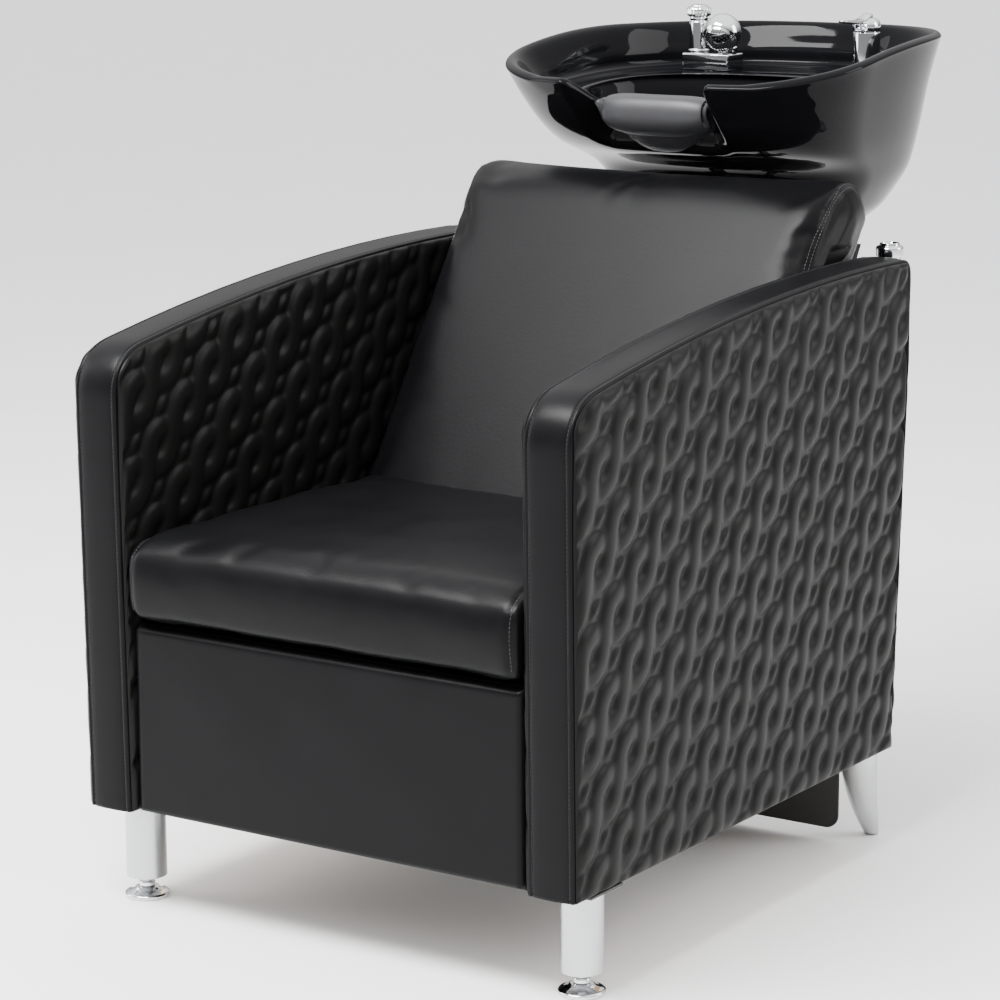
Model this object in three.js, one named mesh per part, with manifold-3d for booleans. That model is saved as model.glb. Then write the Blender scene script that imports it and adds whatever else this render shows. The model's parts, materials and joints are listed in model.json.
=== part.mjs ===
// A salon shampoo backwash unit: an upholstered armchair with a tilting ceramic basin behind its back.
// Millimetres, +Z up. The client faces -Y and the basin is at the back, towards +Y. X = 0 is the middle.
import * as THREE from "three";
import { mergeVertices } from "three/addons/utils/BufferGeometryUtils.js";
import Module from "manifold-3d";

const wasm = await Module();
wasm.setup();

// ---------------------------------------------------------------- driving dimensions
const GAP = 0.3; // between pieces that touch
const SIDES = [
  { side: "left", s: -1 },
  { side: "right", s: 1 },
];

// Arms
const ARM_OUTER_HALF = 320; // middle of the chair to the outside of an arm
const ARM_THICKNESS = 70; // with both quilted panels
const QUILT = 7; // how far each quilted panel stands proud of its band
const BAND = 12; // padding of the band round the front, top and back of an arm
const ARM_BOTTOM = 114; // height of the arms' lower edge
const ARM_FRONT_TOP = 570; // where the front edge starts to turn
const ARM_NOSE = 46; // reach of the turn at the front top corner
const ARM_NOSE_RISE = 53;
const ARM_DEPTH = 681; // front to back, at the lower edge
const ARM_BACK_LEAN = 0.05; // the back edge leans back as it rises
const ARM_TOP = 679; // height of the top at the back
const ARM_SWELL = 17; // how far the top edge bows above a straight line
const ARM_CORNER = 14; // round at the back top corner
const PANEL_INSET = 2.5; // quilted panels stop short of the band's edge

// Seat
const SEAT_TOP = 424;
const SEAT_THICKNESS = 100;
const SEAT_BOTTOM = SEAT_TOP - SEAT_THICKNESS;
const SEAT_CROWN = 6; // rise of the middle of the cushion
const SEAT_NOSE = 10; // how far the cushion stands out in front of the arms
const SEAT_ROUND = 34; // round of the front top edge
const SEAT_SIDE_GAP = 0.8;
const BOARD = 18; // plywood
const RAIL = 24; // timber rails
const FRONT_PANEL = 13;

// Backrest
const RECLINE = 0.636; // back per unit of rise
const BACK_FOOT_Y = 431; // front face of the backrest at the seat's height
const BACK_TOP = 764;
const BACK_SHOULDER = BACK_TOP - 64; // height where the front face starts to turn over the top
const BACK_REAR_TOP = BACK_TOP - 52; // and the rear face
const BACK_DEPTH = 124; // front to back, measured level
const BACK_BOTTOM = SEAT_BOTTOM + 21;
const BACK_BOARD = 12;
const BACK_BRACKET = 5; // thickness of the steel brackets behind it
const BACK_BRACKET_X = 0.6; // share of the room between the arms
const BACK_BRACKET_LOW = BACK_BOTTOM + 15;
const BACK_BRACKET_HIGH = BACK_BOTTOM + 125;

// Legs
const LEG_RADIUS = 22.5;
const LEG_IN = 35; // leg axis to the outside of the arm
const LEG_BACK = 58; // front leg axis to the front of the arm
const LEG_FOOT = 24; // floor to the lower end of the front leg tubes
const LEG_PLATE = 2.4;
const STEM_RADIUS = 6;
const STEM_CLEARANCE = 0.4;
const STEM_BORE = 60; // depth of the threaded hole in the tube
const DISC_RADIUS = 25;
const DISC_HEIGHT = 11;
const HORN_Y = ARM_DEPTH - 21; // rear leg axis at the top
const HORN_SWEEP = 38; // how far the rear leg's toe reaches back
const HORN_TOP_RADIUS = 19;
const HORN_TOE_RADIUS = 6.5;
const HORN_SIDES = 20;
const VALANCE_BOTTOM = 14; // floor to the steel plate between the rear legs
const VALANCE_HALF = ARM_OUTER_HALF - 58;
const VALANCE = 3;
const VALANCE_CORNER = 16;
const REAR_RAIL_Y = ARM_DEPTH - 29;
const REAR_RAIL_DEPTH = 28;
const REAR_RAIL_TOP = 210;
const REAR_RAIL_BOTTOM = 150;

// Basin stand
const BASIN_BOTTOM = BACK_TOP - 96;
const POST_X = ARM_OUTER_HALF - 55;
const POST_CLEAR = 65; // behind the arms' lower edge
const POST_BACK_CLEAR = 11; // behind the top of the backrest
const POST_RADIUS = 14;
const POST_BOTTOM = 170;
const POST_TOP = BASIN_BOTTOM + 6;
const POST_BRACKET_LOW = 200;
const POST_BRACKET_HIGH = 420;
const CAP_RADIUS = 16;
const CAP_HEIGHT = 16;
const BEAM_HEIGHT = 40;
const BEAM_TOP = BASIN_BOTTOM - 68;
const BEAM_DEPTH = 26;
const AXLE_BACK = 76; // behind the posts
const AXLE_Z = BASIN_BOTTOM - 40;
const AXLE_RADIUS = 7;
const AXLE_CLEARANCE = 0.4;
const AXLE_HALF = 78;
const CHEEK_X = 54; // outside of the stand's cheeks
const CHEEK = 7;
const LUG_X = 45; // outside of the cradle's lugs
const LUG = 8;
const LUG_RADIUS = 15;
const CRADLE = 6; // thickness of the cradle plate
const CRADLE_RADIUS = 78;
const SEAL = 6; // rubber ring under the basin

// Basin
const BASIN_JOINT = 100; // foot to the plane that divides the casting into two pieces
const DRAIN_BACK = 50; // behind the axle
const DRAIN_RADIUS = 24;
const DRAIN_RECESS = 35; // radius of the step that holds the waste flange
const DRAIN_TOP = BASIN_BOTTOM + 38;
const BASIN_HALF = 239; // half width at the rim
const BASIN_REACH_FRONT = 269; // drain to the front of the two lobes beside the neck
const BASIN_REACH_BACK = 232;
const RIM_FRONT = BASIN_BOTTOM + 204;
const RIM_BACK = BASIN_BOTTOM + 247;
const CLIMB_START = 25; // behind the front, the rim starts to rise
const CLIMB_RUN = 312;
const BOWL_HALF = BASIN_HALF - 73; // half width of the inner bowl's edge
const DECK_Z = BASIN_BOTTOM + 192; // shelf that holds the fittings
const DECK = 15; // its thickness
const HOLLOW_HALF = BASIN_HALF - 97; // of the hollow under the deck
const HOLLOW_FRONT = 22; // from the fittings' line
const HOLLOW_BACK = 60;
const HOLLOW_DEPTH = 240;
const HOLLOW_CORNER = 30;
const NOTCH_HALF = 98; // half width of the neck notch at its mouth
const NOTCH_FLAT = 66; // half width of its bottom
const NOTCH_DEPTH = 67; // front to back
const NOTCH_DROP = 36; // rim height lost in the notch
const PAD = 14; // thickness of the neck rest
const PAD_HALF = 76;
const PAD_CLEARANCE = 0.5;

// Fittings
const FITTING_BACK = 90; // behind the drain
const BLOCK_X = 45 - HOLLOW_HALF;
const BLOCK_WIDTH = 66;
const BLOCK_DEPTH = 40;
const BLOCK_HEIGHT = 21;
const BREAKER_X = BLOCK_X - 20;
const BREAKER_RADIUS = 12;
const BREAKER_TOP = DECK_Z + 66;
const BREAKER_CAP_RADIUS = 15.5;
const BREAKER_CAP_TOP = DECK_Z + 81;
const SPRAY_X = BLOCK_X + 22;
const SPRAY_RADIUS = 23.5;
const SPRAY_Z = DECK_Z + 48;
const SPRAY_FORWARD = 14; // the ball hangs out in front of its socket
const MIXER_X = HOLLOW_HALF - 24;
const MIXER_RADIUS = 16.5;
const MIXER_BASE_RADIUS = 21;
const MIXER_TOP = DECK_Z + 54;
const MIXER_CAP_TOP = DECK_Z + 72;
const LEVER_REACH = 66;
const SHANK_RADIUS = 12;
const SHANK_CLEARANCE = 0.8;
const SHANK_BOTTOM = DECK_Z - 44;
const NUT_HEIGHT = 9;
const NUT_RADIUS = 17;

// ---------------------------------------------------------------- finishes
const finish = (color, roughness, metalness) => ({ color, roughness, metalness });
const VINYL = finish(0x1b1b1d, 0.5, 0);
const QUILTED = finish(0x1f1e1e, 0.58, 0);
const TIMBER = finish(0xb08a5a, 0.8, 0);
const SATIN = finish(0xb9bcc0, 0.38, 1);
const CHROME = finish(0xdfe3e8, 0.08, 1);
const BLACK_STEEL = finish(0x141414, 0.55, 0.2);
const STEEL = finish(0x5c6064, 0.45, 0.9);
const CERAMIC = finish(0x060607, 0.06, 0);
const GEL = finish(0x2b2b2e, 0.62, 0);
const RUBBER = finish(0x161616, 0.85, 0);

// ---------------------------------------------------------------- helpers
const root = new THREE.Group();
const chair = new THREE.Group();
root.add(chair);

function addPiece(name, geometry, look) {
  const mesh = new THREE.Mesh(geometry, new THREE.MeshStandardMaterial(look));
  mesh.name = name;
  chair.add(mesh);
  return mesh;
}

function toSolid(geometry) {
  const bare = geometry.clone();
  bare.deleteAttribute("normal");
  bare.deleteAttribute("uv");
  const merged = mergeVertices(bare, 1e-4);
  return new wasm.Manifold(
    new wasm.Mesh({
      numProp: 3,
      vertProperties: new Float32Array(merged.attributes.position.array),
      triVerts: new Uint32Array(merged.index.array),
    }),
  );
}

function toGeometry(solid) {
  const mesh = solid.getMesh();
  const geometry = new THREE.BufferGeometry();
  geometry.setAttribute("position", new THREE.BufferAttribute(mesh.vertProperties, 3));
  geometry.setIndex(new THREE.BufferAttribute(mesh.triVerts, 1));
  geometry.computeVertexNormals();
  return geometry;
}

const join = (...parts) => toGeometry(parts.map(toSolid).reduce((a, b) => a.add(b)));
const cut = (body, ...tools) =>
  toGeometry(tools.map(toSolid).reduce((a, b) => a.subtract(b), toSolid(body)));

function box(x0, x1, y0, y1, z0, z1) {
  const geometry = new THREE.BoxGeometry(x1 - x0, y1 - y0, z1 - z0);
  return geometry.translate((x0 + x1) / 2, (y0 + y1) / 2, (z0 + z1) / 2);
}

// A side outline drawn in (y, z), made solid from x0 to x1.
function sideways(shape, x0, x1, curveSegments = 8) {
  const geometry = new THREE.ExtrudeGeometry(shape, {
    depth: x1 - x0,
    bevelEnabled: false,
    curveSegments,
  });
  return geometry.rotateX(Math.PI / 2).rotateZ(Math.PI / 2).translate(x0, 0, 0);
}

// A front outline drawn in (x, z), made solid from y0 to y1.
function frontways(shape, y0, y1, curveSegments = 8) {
  const geometry = new THREE.ExtrudeGeometry(shape, {
    depth: y1 - y0,
    bevelEnabled: false,
    curveSegments,
  });
  return geometry.rotateX(Math.PI / 2).translate(0, y1, 0);
}

// A profile of [radius, height] points turned about a vertical axis at (x, y).
function turned(points, x, y, segments = 24) {
  const profile = points.map(([r, z]) => new THREE.Vector2(r, z));
  return new THREE.LatheGeometry(profile, segments).rotateX(Math.PI / 2).translate(x, y, 0);
}

const rod = (x, y, radius, z0, z1, segments = 24) =>
  turned([[0, z0], [radius, z0], [radius, z1], [0, z1]], x, y, segments);

const ring = (x, y, inner, outer, z0, z1, segments = 24) =>
  turned([[inner, z0], [outer, z0], [outer, z1], [inner, z1], [inner, z0]], x, y, segments);

// A pin along X.
function crossPin(y, z, radius, x0, x1, segments = 24) {
  const geometry = new THREE.CylinderGeometry(radius, radius, x1 - x0, segments);
  return geometry.rotateZ(Math.PI / 2).translate((x0 + x1) / 2, y, z);
}

function roundedRectangle(x0, x1, y0, y1, r) {
  const shape = new THREE.Shape();
  shape.moveTo(x0 + r, y0);
  shape.lineTo(x1 - r, y0);
  shape.absarc(x1 - r, y0 + r, r, -Math.PI / 2, 0, false);
  shape.lineTo(x1, y1 - r);
  shape.absarc(x1 - r, y1 - r, r, 0, Math.PI / 2, false);
  shape.lineTo(x0 + r, y1);
  shape.absarc(x0 + r, y1 - r, r, Math.PI / 2, Math.PI, false);
  shape.lineTo(x0, y0 + r);
  shape.absarc(x0 + r, y0 + r, r, Math.PI, 1.5 * Math.PI, false);
  return shape;
}

// Rings of equal count joined into one skin: closed back onto the first ring, or capped at both ends.
function loft(rings, closed) {
  const count = rings[0].length;
  const positions = rings.flat().flatMap((p) => [p.x, p.y, p.z]);
  const index = [];
  const last = closed ? rings.length : rings.length - 1;
  for (let k = 0; k < last; k++) {
    const a = k * count;
    const b = ((k + 1) % rings.length) * count;
    for (let i = 0; i < count; i++) {
      const j = (i + 1) % count;
      index.push(a + i, a + j, b + j, a + i, b + j, b + i);
    }
  }
  if (!closed) {
    const caps = [
      { start: 0, flip: true },
      { start: (rings.length - 1) * count, flip: false },
    ];
    for (const { start, flip } of caps) {
      const middle = positions.length / 3;
      const ringOf = rings[start / count];
      const centre = ringOf.reduce((sum, p) => sum.add(p), new THREE.Vector3());
      centre.divideScalar(count);
      positions.push(centre.x, centre.y, centre.z);
      for (let i = 0; i < count; i++) {
        const j = (i + 1) % count;
        index.push(...(flip ? [start + j, start + i, middle] : [start + i, start + j, middle]));
      }
    }
  }
  const geometry = new THREE.BufferGeometry();
  geometry.setAttribute("position", new THREE.Float32BufferAttribute(positions, 3));
  geometry.setIndex(index);
  geometry.computeVertexNormals();
  return geometry;
}

const smooth = (t) => {
  const k = Math.min(1, Math.max(0, t));
  return k * k * (3 - 2 * k);
};

// The same span of x on either side of the chair.
const span = (s, inner, outer) => (s > 0 ? [inner, outer] : [-outer, -inner]);

// ---------------------------------------------------------------- arms
const armInner = ARM_OUTER_HALF - ARM_THICKNESS;
const armFront = (z) => -0.0155 * (z - ARM_BOTTOM);
const armBack = (z) => ARM_DEPTH + ARM_BACK_LEAN * (z - ARM_BOTTOM);

// The side outline of an arm, drawn `inset` inside its front, top and back edges.
function armOutline(inset) {
  const noseY = ARM_NOSE + armFront(ARM_FRONT_TOP);
  const noseZ = ARM_FRONT_TOP + ARM_NOSE_RISE - inset;
  const topBack = armBack(ARM_TOP) - inset;
  const path = new THREE.Path();
  path.moveTo(armFront(ARM_BOTTOM) + inset, ARM_BOTTOM);
  path.lineTo(armFront(ARM_FRONT_TOP) + inset, ARM_FRONT_TOP);
  path.bezierCurveTo(
    armFront(ARM_FRONT_TOP) + inset,
    ARM_FRONT_TOP + 0.62 * ARM_NOSE_RISE - inset / 2,
    noseY - 0.5 * ARM_NOSE + inset / 2,
    noseZ - 0.12 * ARM_NOSE,
    noseY + inset / 2,
    noseZ,
  );
  path.quadraticCurveTo(
    (noseY + topBack) / 2,
    (noseZ + ARM_TOP - inset) / 2 + 2 * ARM_SWELL,
    topBack - ARM_CORNER,
    ARM_TOP - inset,
  );
  path.quadraticCurveTo(topBack, ARM_TOP - inset, topBack, ARM_TOP - inset - ARM_CORNER);
  path.lineTo(armBack(ARM_BOTTOM) - inset, ARM_BOTTOM);
  return path.getPoints(10);
}

for (const { side, s } of SIDES) {
  const band = [...armOutline(0), ...armOutline(BAND).reverse()];
  const bandIn = armInner + QUILT + GAP;
  const bandOut = ARM_OUTER_HALF - QUILT - GAP;
  const core = sideways(new THREE.Shape(armOutline(BAND + GAP)), ...span(s, bandIn, bandOut));
  const panel = new THREE.Shape(armOutline(PANEL_INSET));
  addPiece(`arm_core_${side}`, core, TIMBER);
  addPiece(`arm_band_${side}`, sideways(new THREE.Shape(band), ...span(s, bandIn, bandOut)), VINYL);
  addPiece(
    `arm_outer_panel_${side}`,
    sideways(panel, ...span(s, ARM_OUTER_HALF - QUILT, ARM_OUTER_HALF)),
    QUILTED,
  );
  addPiece(
    `arm_inner_panel_${side}`,
    sideways(panel, ...span(s, armInner, armInner + QUILT)),
    QUILTED,
  );
}

// ---------------------------------------------------------------- seat
const backFront = (z) => BACK_FOOT_Y + RECLINE * (z - SEAT_TOP);
const between = armInner - GAP; // half the room between the arms
const panelFront = 2;
const railFront = panelFront + FRONT_PANEL + GAP;
const boardTop = SEAT_BOTTOM - GAP;
const boardBottom = boardTop - BOARD;

function seatOutline() {
  const shape = new THREE.Shape();
  const back = backFront(SEAT_TOP) - 1;
  shape.moveTo(-0.4 * SEAT_NOSE, SEAT_BOTTOM);
  shape.quadraticCurveTo(
    -1.4 * SEAT_NOSE,
    (SEAT_BOTTOM + SEAT_TOP) / 2 - SEAT_ROUND / 2,
    -SEAT_NOSE,
    SEAT_TOP - SEAT_ROUND,
  );
  shape.quadraticCurveTo(-SEAT_NOSE, SEAT_TOP, SEAT_ROUND - SEAT_NOSE, SEAT_TOP);
  shape.quadraticCurveTo(back / 2, SEAT_TOP + 2 * SEAT_CROWN, back, SEAT_TOP);
  shape.lineTo(backFront(SEAT_BOTTOM) - 1, SEAT_BOTTOM);
  return shape;
}

const seatHalf = armInner - SEAT_SIDE_GAP;
addPiece("seat_cushion", sideways(seatOutline(), -seatHalf, seatHalf), VINYL);
addPiece("seat_board", box(-between, between, railFront, BACK_FOOT_Y + 9, boardBottom, boardTop), TIMBER);
addPiece(
  "front_panel",
  box(-between, between, panelFront, panelFront + FRONT_PANEL, ARM_BOTTOM, SEAT_BOTTOM - 1),
  VINYL,
);
addPiece(
  "front_rail",
  box(-between, between, railFront, railFront + RAIL, ARM_BOTTOM + 20, boardBottom - GAP),
  TIMBER,
);
addPiece(
  "rear_rail",
  box(-between, between, REAR_RAIL_Y, REAR_RAIL_Y + REAR_RAIL_DEPTH, REAR_RAIL_BOTTOM, REAR_RAIL_TOP),
  TIMBER,
);

// ---------------------------------------------------------------- backrest
const backRear = (z) => {
  const foot = backFront(BACK_BOTTOM) + BACK_DEPTH;
  const top = backFront(BACK_REAR_TOP) + BACK_DEPTH - 4;
  return foot + ((top - foot) * (z - BACK_BOTTOM)) / (BACK_REAR_TOP - BACK_BOTTOM);
};

function backOutline() {
  const crown = (backFront(BACK_SHOULDER) + backRear(BACK_REAR_TOP)) / 2 + 12;
  const shape = new THREE.Shape();
  shape.moveTo(backFront(BACK_BOTTOM), BACK_BOTTOM);
  shape.lineTo(backFront(BACK_SHOULDER), BACK_SHOULDER);
  shape.bezierCurveTo(
    backFront(BACK_SHOULDER + 36),
    BACK_SHOULDER + 36,
    crown - 36,
    BACK_TOP,
    crown,
    BACK_TOP,
  );
  shape.bezierCurveTo(
    crown + 34,
    BACK_TOP,
    backRear(BACK_REAR_TOP),
    BACK_REAR_TOP + 32,
    backRear(BACK_REAR_TOP),
    BACK_REAR_TOP,
  );
  shape.lineTo(backRear(BACK_BOTTOM), BACK_BOTTOM);
  return shape;
}

function backBoardOutline() {
  const low = BACK_BOTTOM + 8;
  const high = BACK_REAR_TOP - 24;
  const off = 2 * GAP;
  return new THREE.Shape([
    new THREE.Vector2(backRear(low) + off, low),
    new THREE.Vector2(backRear(low) + off + BACK_BOARD, low),
    new THREE.Vector2(backRear(high) + off + BACK_BOARD, high),
    new THREE.Vector2(backRear(high) + off, high),
  ]);
}

const bracketOff = BACK_BOARD + 4 * GAP;
const bracketOutline = new THREE.Shape([
  new THREE.Vector2(backRear(BACK_BRACKET_LOW) + bracketOff, BACK_BRACKET_LOW),
  new THREE.Vector2(REAR_RAIL_Y + 2, REAR_RAIL_TOP + GAP),
  new THREE.Vector2(REAR_RAIL_Y + REAR_RAIL_DEPTH - 2, REAR_RAIL_TOP + GAP),
  new THREE.Vector2(backRear(BACK_BRACKET_HIGH) + bracketOff, BACK_BRACKET_HIGH),
]);
addPiece("backrest_cushion", sideways(backOutline(), -seatHalf, seatHalf), VINYL);
addPiece("backrest_board", sideways(backBoardOutline(), 14 - between, between - 14), TIMBER);
const bracketX = BACK_BRACKET_X * armInner;
for (const { side, s } of SIDES) {
  const [x0, x1] = span(s, bracketX, bracketX + BACK_BRACKET);
  addPiece(`backrest_bracket_${side}`, sideways(bracketOutline, x0, x1), STEEL);
}

// ---------------------------------------------------------------- legs
const legX = ARM_OUTER_HALF - LEG_IN;
const legTop = ARM_BOTTOM - LEG_PLATE - 2 * GAP;
const boreRadius = STEM_RADIUS + STEM_CLEARANCE;

for (const { side, s } of SIDES) {
  const x = s * legX;
  const plate = box(x - 30, x + 30, LEG_BACK - 30, LEG_BACK + 30, legTop + GAP, ARM_BOTTOM - GAP);
  const tube = turned(
    [
      [0, LEG_FOOT + STEM_BORE],
      [boreRadius, LEG_FOOT + STEM_BORE],
      [boreRadius, LEG_FOOT],
      [LEG_RADIUS - 1.5, LEG_FOOT],
      [LEG_RADIUS, LEG_FOOT + 1.5],
      [LEG_RADIUS, legTop],
      [0, legTop],
    ],
    x,
    LEG_BACK,
    24,
  );
  const stem = turned(
    [
      [0, DISC_HEIGHT + GAP],
      [STEM_RADIUS + 3, DISC_HEIGHT + GAP],
      [STEM_RADIUS + 3, DISC_HEIGHT + 6],
      [STEM_RADIUS, DISC_HEIGHT + 7],
      [STEM_RADIUS, LEG_FOOT + STEM_BORE - GAP],
      [0, LEG_FOOT + STEM_BORE - GAP],
    ],
    x,
    LEG_BACK,
    24,
  );
  const disc = turned(
    [
      [0, 0],
      [DISC_RADIUS - 1, 0],
      [DISC_RADIUS, 1],
      [DISC_RADIUS, 4],
      [0.8 * DISC_RADIUS, 0.7 * DISC_HEIGHT],
      [0.5 * DISC_RADIUS, DISC_HEIGHT],
      [0, DISC_HEIGHT],
    ],
    x,
    LEG_BACK,
    24,
  );
  addPiece(`front_leg_plate_${side}`, plate, BLACK_STEEL);
  addPiece(`front_leg_${side}`, tube, SATIN);
  addPiece(`foot_stem_${side}`, stem, CHROME);
  addPiece(`foot_disc_${side}`, disc, CHROME);
}

function hornRing(x, z) {
  const t = 1 - z / legTop;
  const radius = HORN_TOP_RADIUS - (HORN_TOP_RADIUS - HORN_TOE_RADIUS) * t ** 1.7;
  const y = HORN_Y + HORN_SWEEP * t ** 1.9;
  return Array.from({ length: HORN_SIDES }, (_, i) => {
    const a = (i / HORN_SIDES) * 2 * Math.PI;
    return new THREE.Vector3(x + radius * Math.cos(a), y + radius * Math.sin(a), z);
  });
}

for (const { side, s } of SIDES) {
  const x = s * (legX - 3);
  const rings = Array.from({ length: 9 }, (_, i) => hornRing(x, (i / 8) * legTop));
  const y0 = HORN_Y - 28;
  const plate = box(x - 27, x + 27, y0, ARM_DEPTH - 4, legTop + GAP, ARM_BOTTOM - GAP);
  addPiece(`rear_leg_plate_${side}`, plate, BLACK_STEEL);
  addPiece(`rear_leg_${side}`, loft(rings, false), SATIN);
}

// The steel plate that closes the back of the chair between the rear legs, hung on the rear rail.
function valanceOutline() {
  const shape = new THREE.Shape();
  const r = VALANCE_CORNER;
  const neck = legTop - 4;
  shape.moveTo(r - VALANCE_HALF, VALANCE_BOTTOM);
  shape.lineTo(VALANCE_HALF - r, VALANCE_BOTTOM);
  shape.absarc(VALANCE_HALF - r, VALANCE_BOTTOM + r, r, -Math.PI / 2, 0, false);
  shape.lineTo(VALANCE_HALF, neck);
  shape.lineTo(between, neck);
  shape.lineTo(between, REAR_RAIL_TOP - 10);
  shape.lineTo(-between, REAR_RAIL_TOP - 10);
  shape.lineTo(-between, neck);
  shape.lineTo(-VALANCE_HALF, neck);
  shape.lineTo(-VALANCE_HALF, VALANCE_BOTTOM + r);
  shape.absarc(r - VALANCE_HALF, VALANCE_BOTTOM + r, r, Math.PI, 1.5 * Math.PI, false);
  return shape;
}
const valanceBack = REAR_RAIL_Y - GAP;
addPiece("rear_valance", frontways(valanceOutline(), valanceBack - VALANCE, valanceBack), BLACK_STEEL);

// ---------------------------------------------------------------- basin stand
// The stand clears both the arms and the backrest, and the basin stands on it.
const postY = Math.max(ARM_DEPTH + POST_CLEAR, backRear(BACK_REAR_TOP) + POST_BACK_CLEAR);
const axleY = postY + AXLE_BACK;
const drainY = axleY + DRAIN_BACK;
const basinFront = drainY - BASIN_REACH_FRONT;
const basinBack = drainY + BASIN_REACH_BACK;
const fittingY = drainY + FITTING_BACK;

for (const { side, s } of SIDES) {
  const x = s * POST_X;
  const bracket = new THREE.Shape([
    new THREE.Vector2(armBack(POST_BRACKET_LOW) + 2 * GAP, POST_BRACKET_LOW),
    new THREE.Vector2(postY - POST_RADIUS - GAP, POST_BRACKET_LOW + 14),
    new THREE.Vector2(postY - POST_RADIUS - GAP, POST_BRACKET_HIGH - 10),
    new THREE.Vector2(armBack(POST_BRACKET_HIGH) + 2 * GAP, POST_BRACKET_HIGH),
  ]);
  const cap = turned(
    [
      [0, POST_TOP + GAP],
      [CAP_RADIUS, POST_TOP + GAP],
      [CAP_RADIUS, POST_TOP + 0.7 * CAP_HEIGHT],
      [CAP_RADIUS - 1.5, POST_TOP + 0.8 * CAP_HEIGHT],
      [0.72 * CAP_RADIUS, POST_TOP + 0.85 * CAP_HEIGHT],
      [0.68 * CAP_RADIUS, POST_TOP + CAP_HEIGHT],
      [0, POST_TOP + CAP_HEIGHT],
    ],
    x,
    postY,
    24,
  );
  addPiece(`post_bracket_${side}`, sideways(bracket, x - POST_RADIUS, x + POST_RADIUS), BLACK_STEEL);
  addPiece(`post_${side}`, rod(x, postY, POST_RADIUS, POST_BOTTOM, POST_TOP), CHROME);
  addPiece(`post_cap_${side}`, cap, CHROME);
}

const beamBack = postY + BEAM_DEPTH / 2;
const beamHalf = POST_X - POST_RADIUS - GAP;
const beamBottom = BEAM_TOP - BEAM_HEIGHT;
addPiece(
  "cross_beam",
  box(-beamHalf, beamHalf, postY - BEAM_DEPTH / 2, beamBack, beamBottom, BEAM_TOP),
  STEEL,
);

const axleHole = AXLE_RADIUS + AXLE_CLEARANCE;
const hub = (radius, x0, x1) => crossPin(axleY, AXLE_Z, radius, x0, x1);
const plateBack = beamBack + GAP + 6;

function cheek(x0, x1) {
  const web = new THREE.Shape([
    new THREE.Vector2(plateBack - 3, beamBottom - 2),
    new THREE.Vector2(axleY + 9, AXLE_Z - 13),
    new THREE.Vector2(axleY - 8, AXLE_Z + 13),
    new THREE.Vector2(plateBack - 3, BEAM_TOP + 10),
  ]);
  return join(sideways(web, x0, x1), hub(LUG_RADIUS + 1, x0, x1));
}

addPiece(
  "tilt_bracket",
  cut(
    join(
      box(-CHEEK_X - 12, CHEEK_X + 12, beamBack + GAP, plateBack, beamBottom - 6, BEAM_TOP + 12),
      cheek(CHEEK_X - CHEEK, CHEEK_X),
      cheek(-CHEEK_X, CHEEK - CHEEK_X),
    ),
    hub(axleHole, -AXLE_HALF, AXLE_HALF),
  ),
  BLACK_STEEL,
);
addPiece("tilt_axle", hub(AXLE_RADIUS, -AXLE_HALF, AXLE_HALF), STEEL);

// The clamp lever on the axle's right end: swung up it frees the basin, swung down it holds it.
const leverIn = CHEEK_X + 2;
const leverArm = new THREE.Shape([
  new THREE.Vector2(axleY - 8, AXLE_Z),
  new THREE.Vector2(axleY + 22, AXLE_Z - 66),
  new THREE.Vector2(axleY + 33, AXLE_Z - 62),
  new THREE.Vector2(axleY + 9, AXLE_Z),
]);
const leverKnob = new THREE.SphereGeometry(11, 16, 10).translate(leverIn + 6, axleY + 29, AXLE_Z - 70);
addPiece(
  "tilt_lever",
  cut(
    join(hub(12, leverIn, leverIn + 13), sideways(leverArm, leverIn + 2, leverIn + 10), leverKnob),
    hub(axleHole, leverIn - 5, leverIn + 20),
  ),
  BLACK_STEEL,
);

// ---------------------------------------------------------------- basin cradle and seal
const sealTop = BASIN_BOTTOM - GAP;
const cradleTop = sealTop - SEAL - GAP;
const cradleBottom = cradleTop - CRADLE;

function lug(x0, x1) {
  const web = new THREE.Shape([
    new THREE.Vector2(axleY - LUG_RADIUS, AXLE_Z),
    new THREE.Vector2(axleY + LUG_RADIUS, AXLE_Z),
    new THREE.Vector2(axleY + 44, cradleBottom + 2),
    new THREE.Vector2(axleY - LUG_RADIUS, cradleBottom + 2),
  ]);
  return join(sideways(web, x0, x1), hub(LUG_RADIUS, x0, x1));
}

addPiece(
  "basin_cradle",
  cut(
    join(
      ring(0, drainY, DRAIN_RADIUS + 2, CRADLE_RADIUS, cradleBottom, cradleTop, 40),
      lug(LUG_X - LUG, LUG_X),
      lug(-LUG_X, LUG - LUG_X),
    ),
    hub(axleHole, -AXLE_HALF, AXLE_HALF),
  ),
  BLACK_STEEL,
);
addPiece(
  "cradle_seal",
  ring(0, drainY, DRAIN_RADIUS + 2, CRADLE_RADIUS - 2, sealTop - SEAL, sealTop, 40),
  RUBBER,
);

// ---------------------------------------------------------------- basin
// The basin is a stack of rounded rings, from the foot up the outside, over the rim and down the inside.
// half: half width; front, back: where the ring meets X = 0; low, high: its height at the front and back;
// notch, drop: how far the neck notch pushes the ring back and down; round: superellipse power.
const circle = (radius, z) => ({
  half: radius,
  front: drainY - radius,
  back: drainY + radius,
  low: z,
  high: z,
  wide: 0.5,
});
const oval = (half, front, back, low, high, notch = 0, drop = 0) => ({
  half,
  front,
  back,
  low,
  high,
  notch,
  drop,
});

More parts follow.
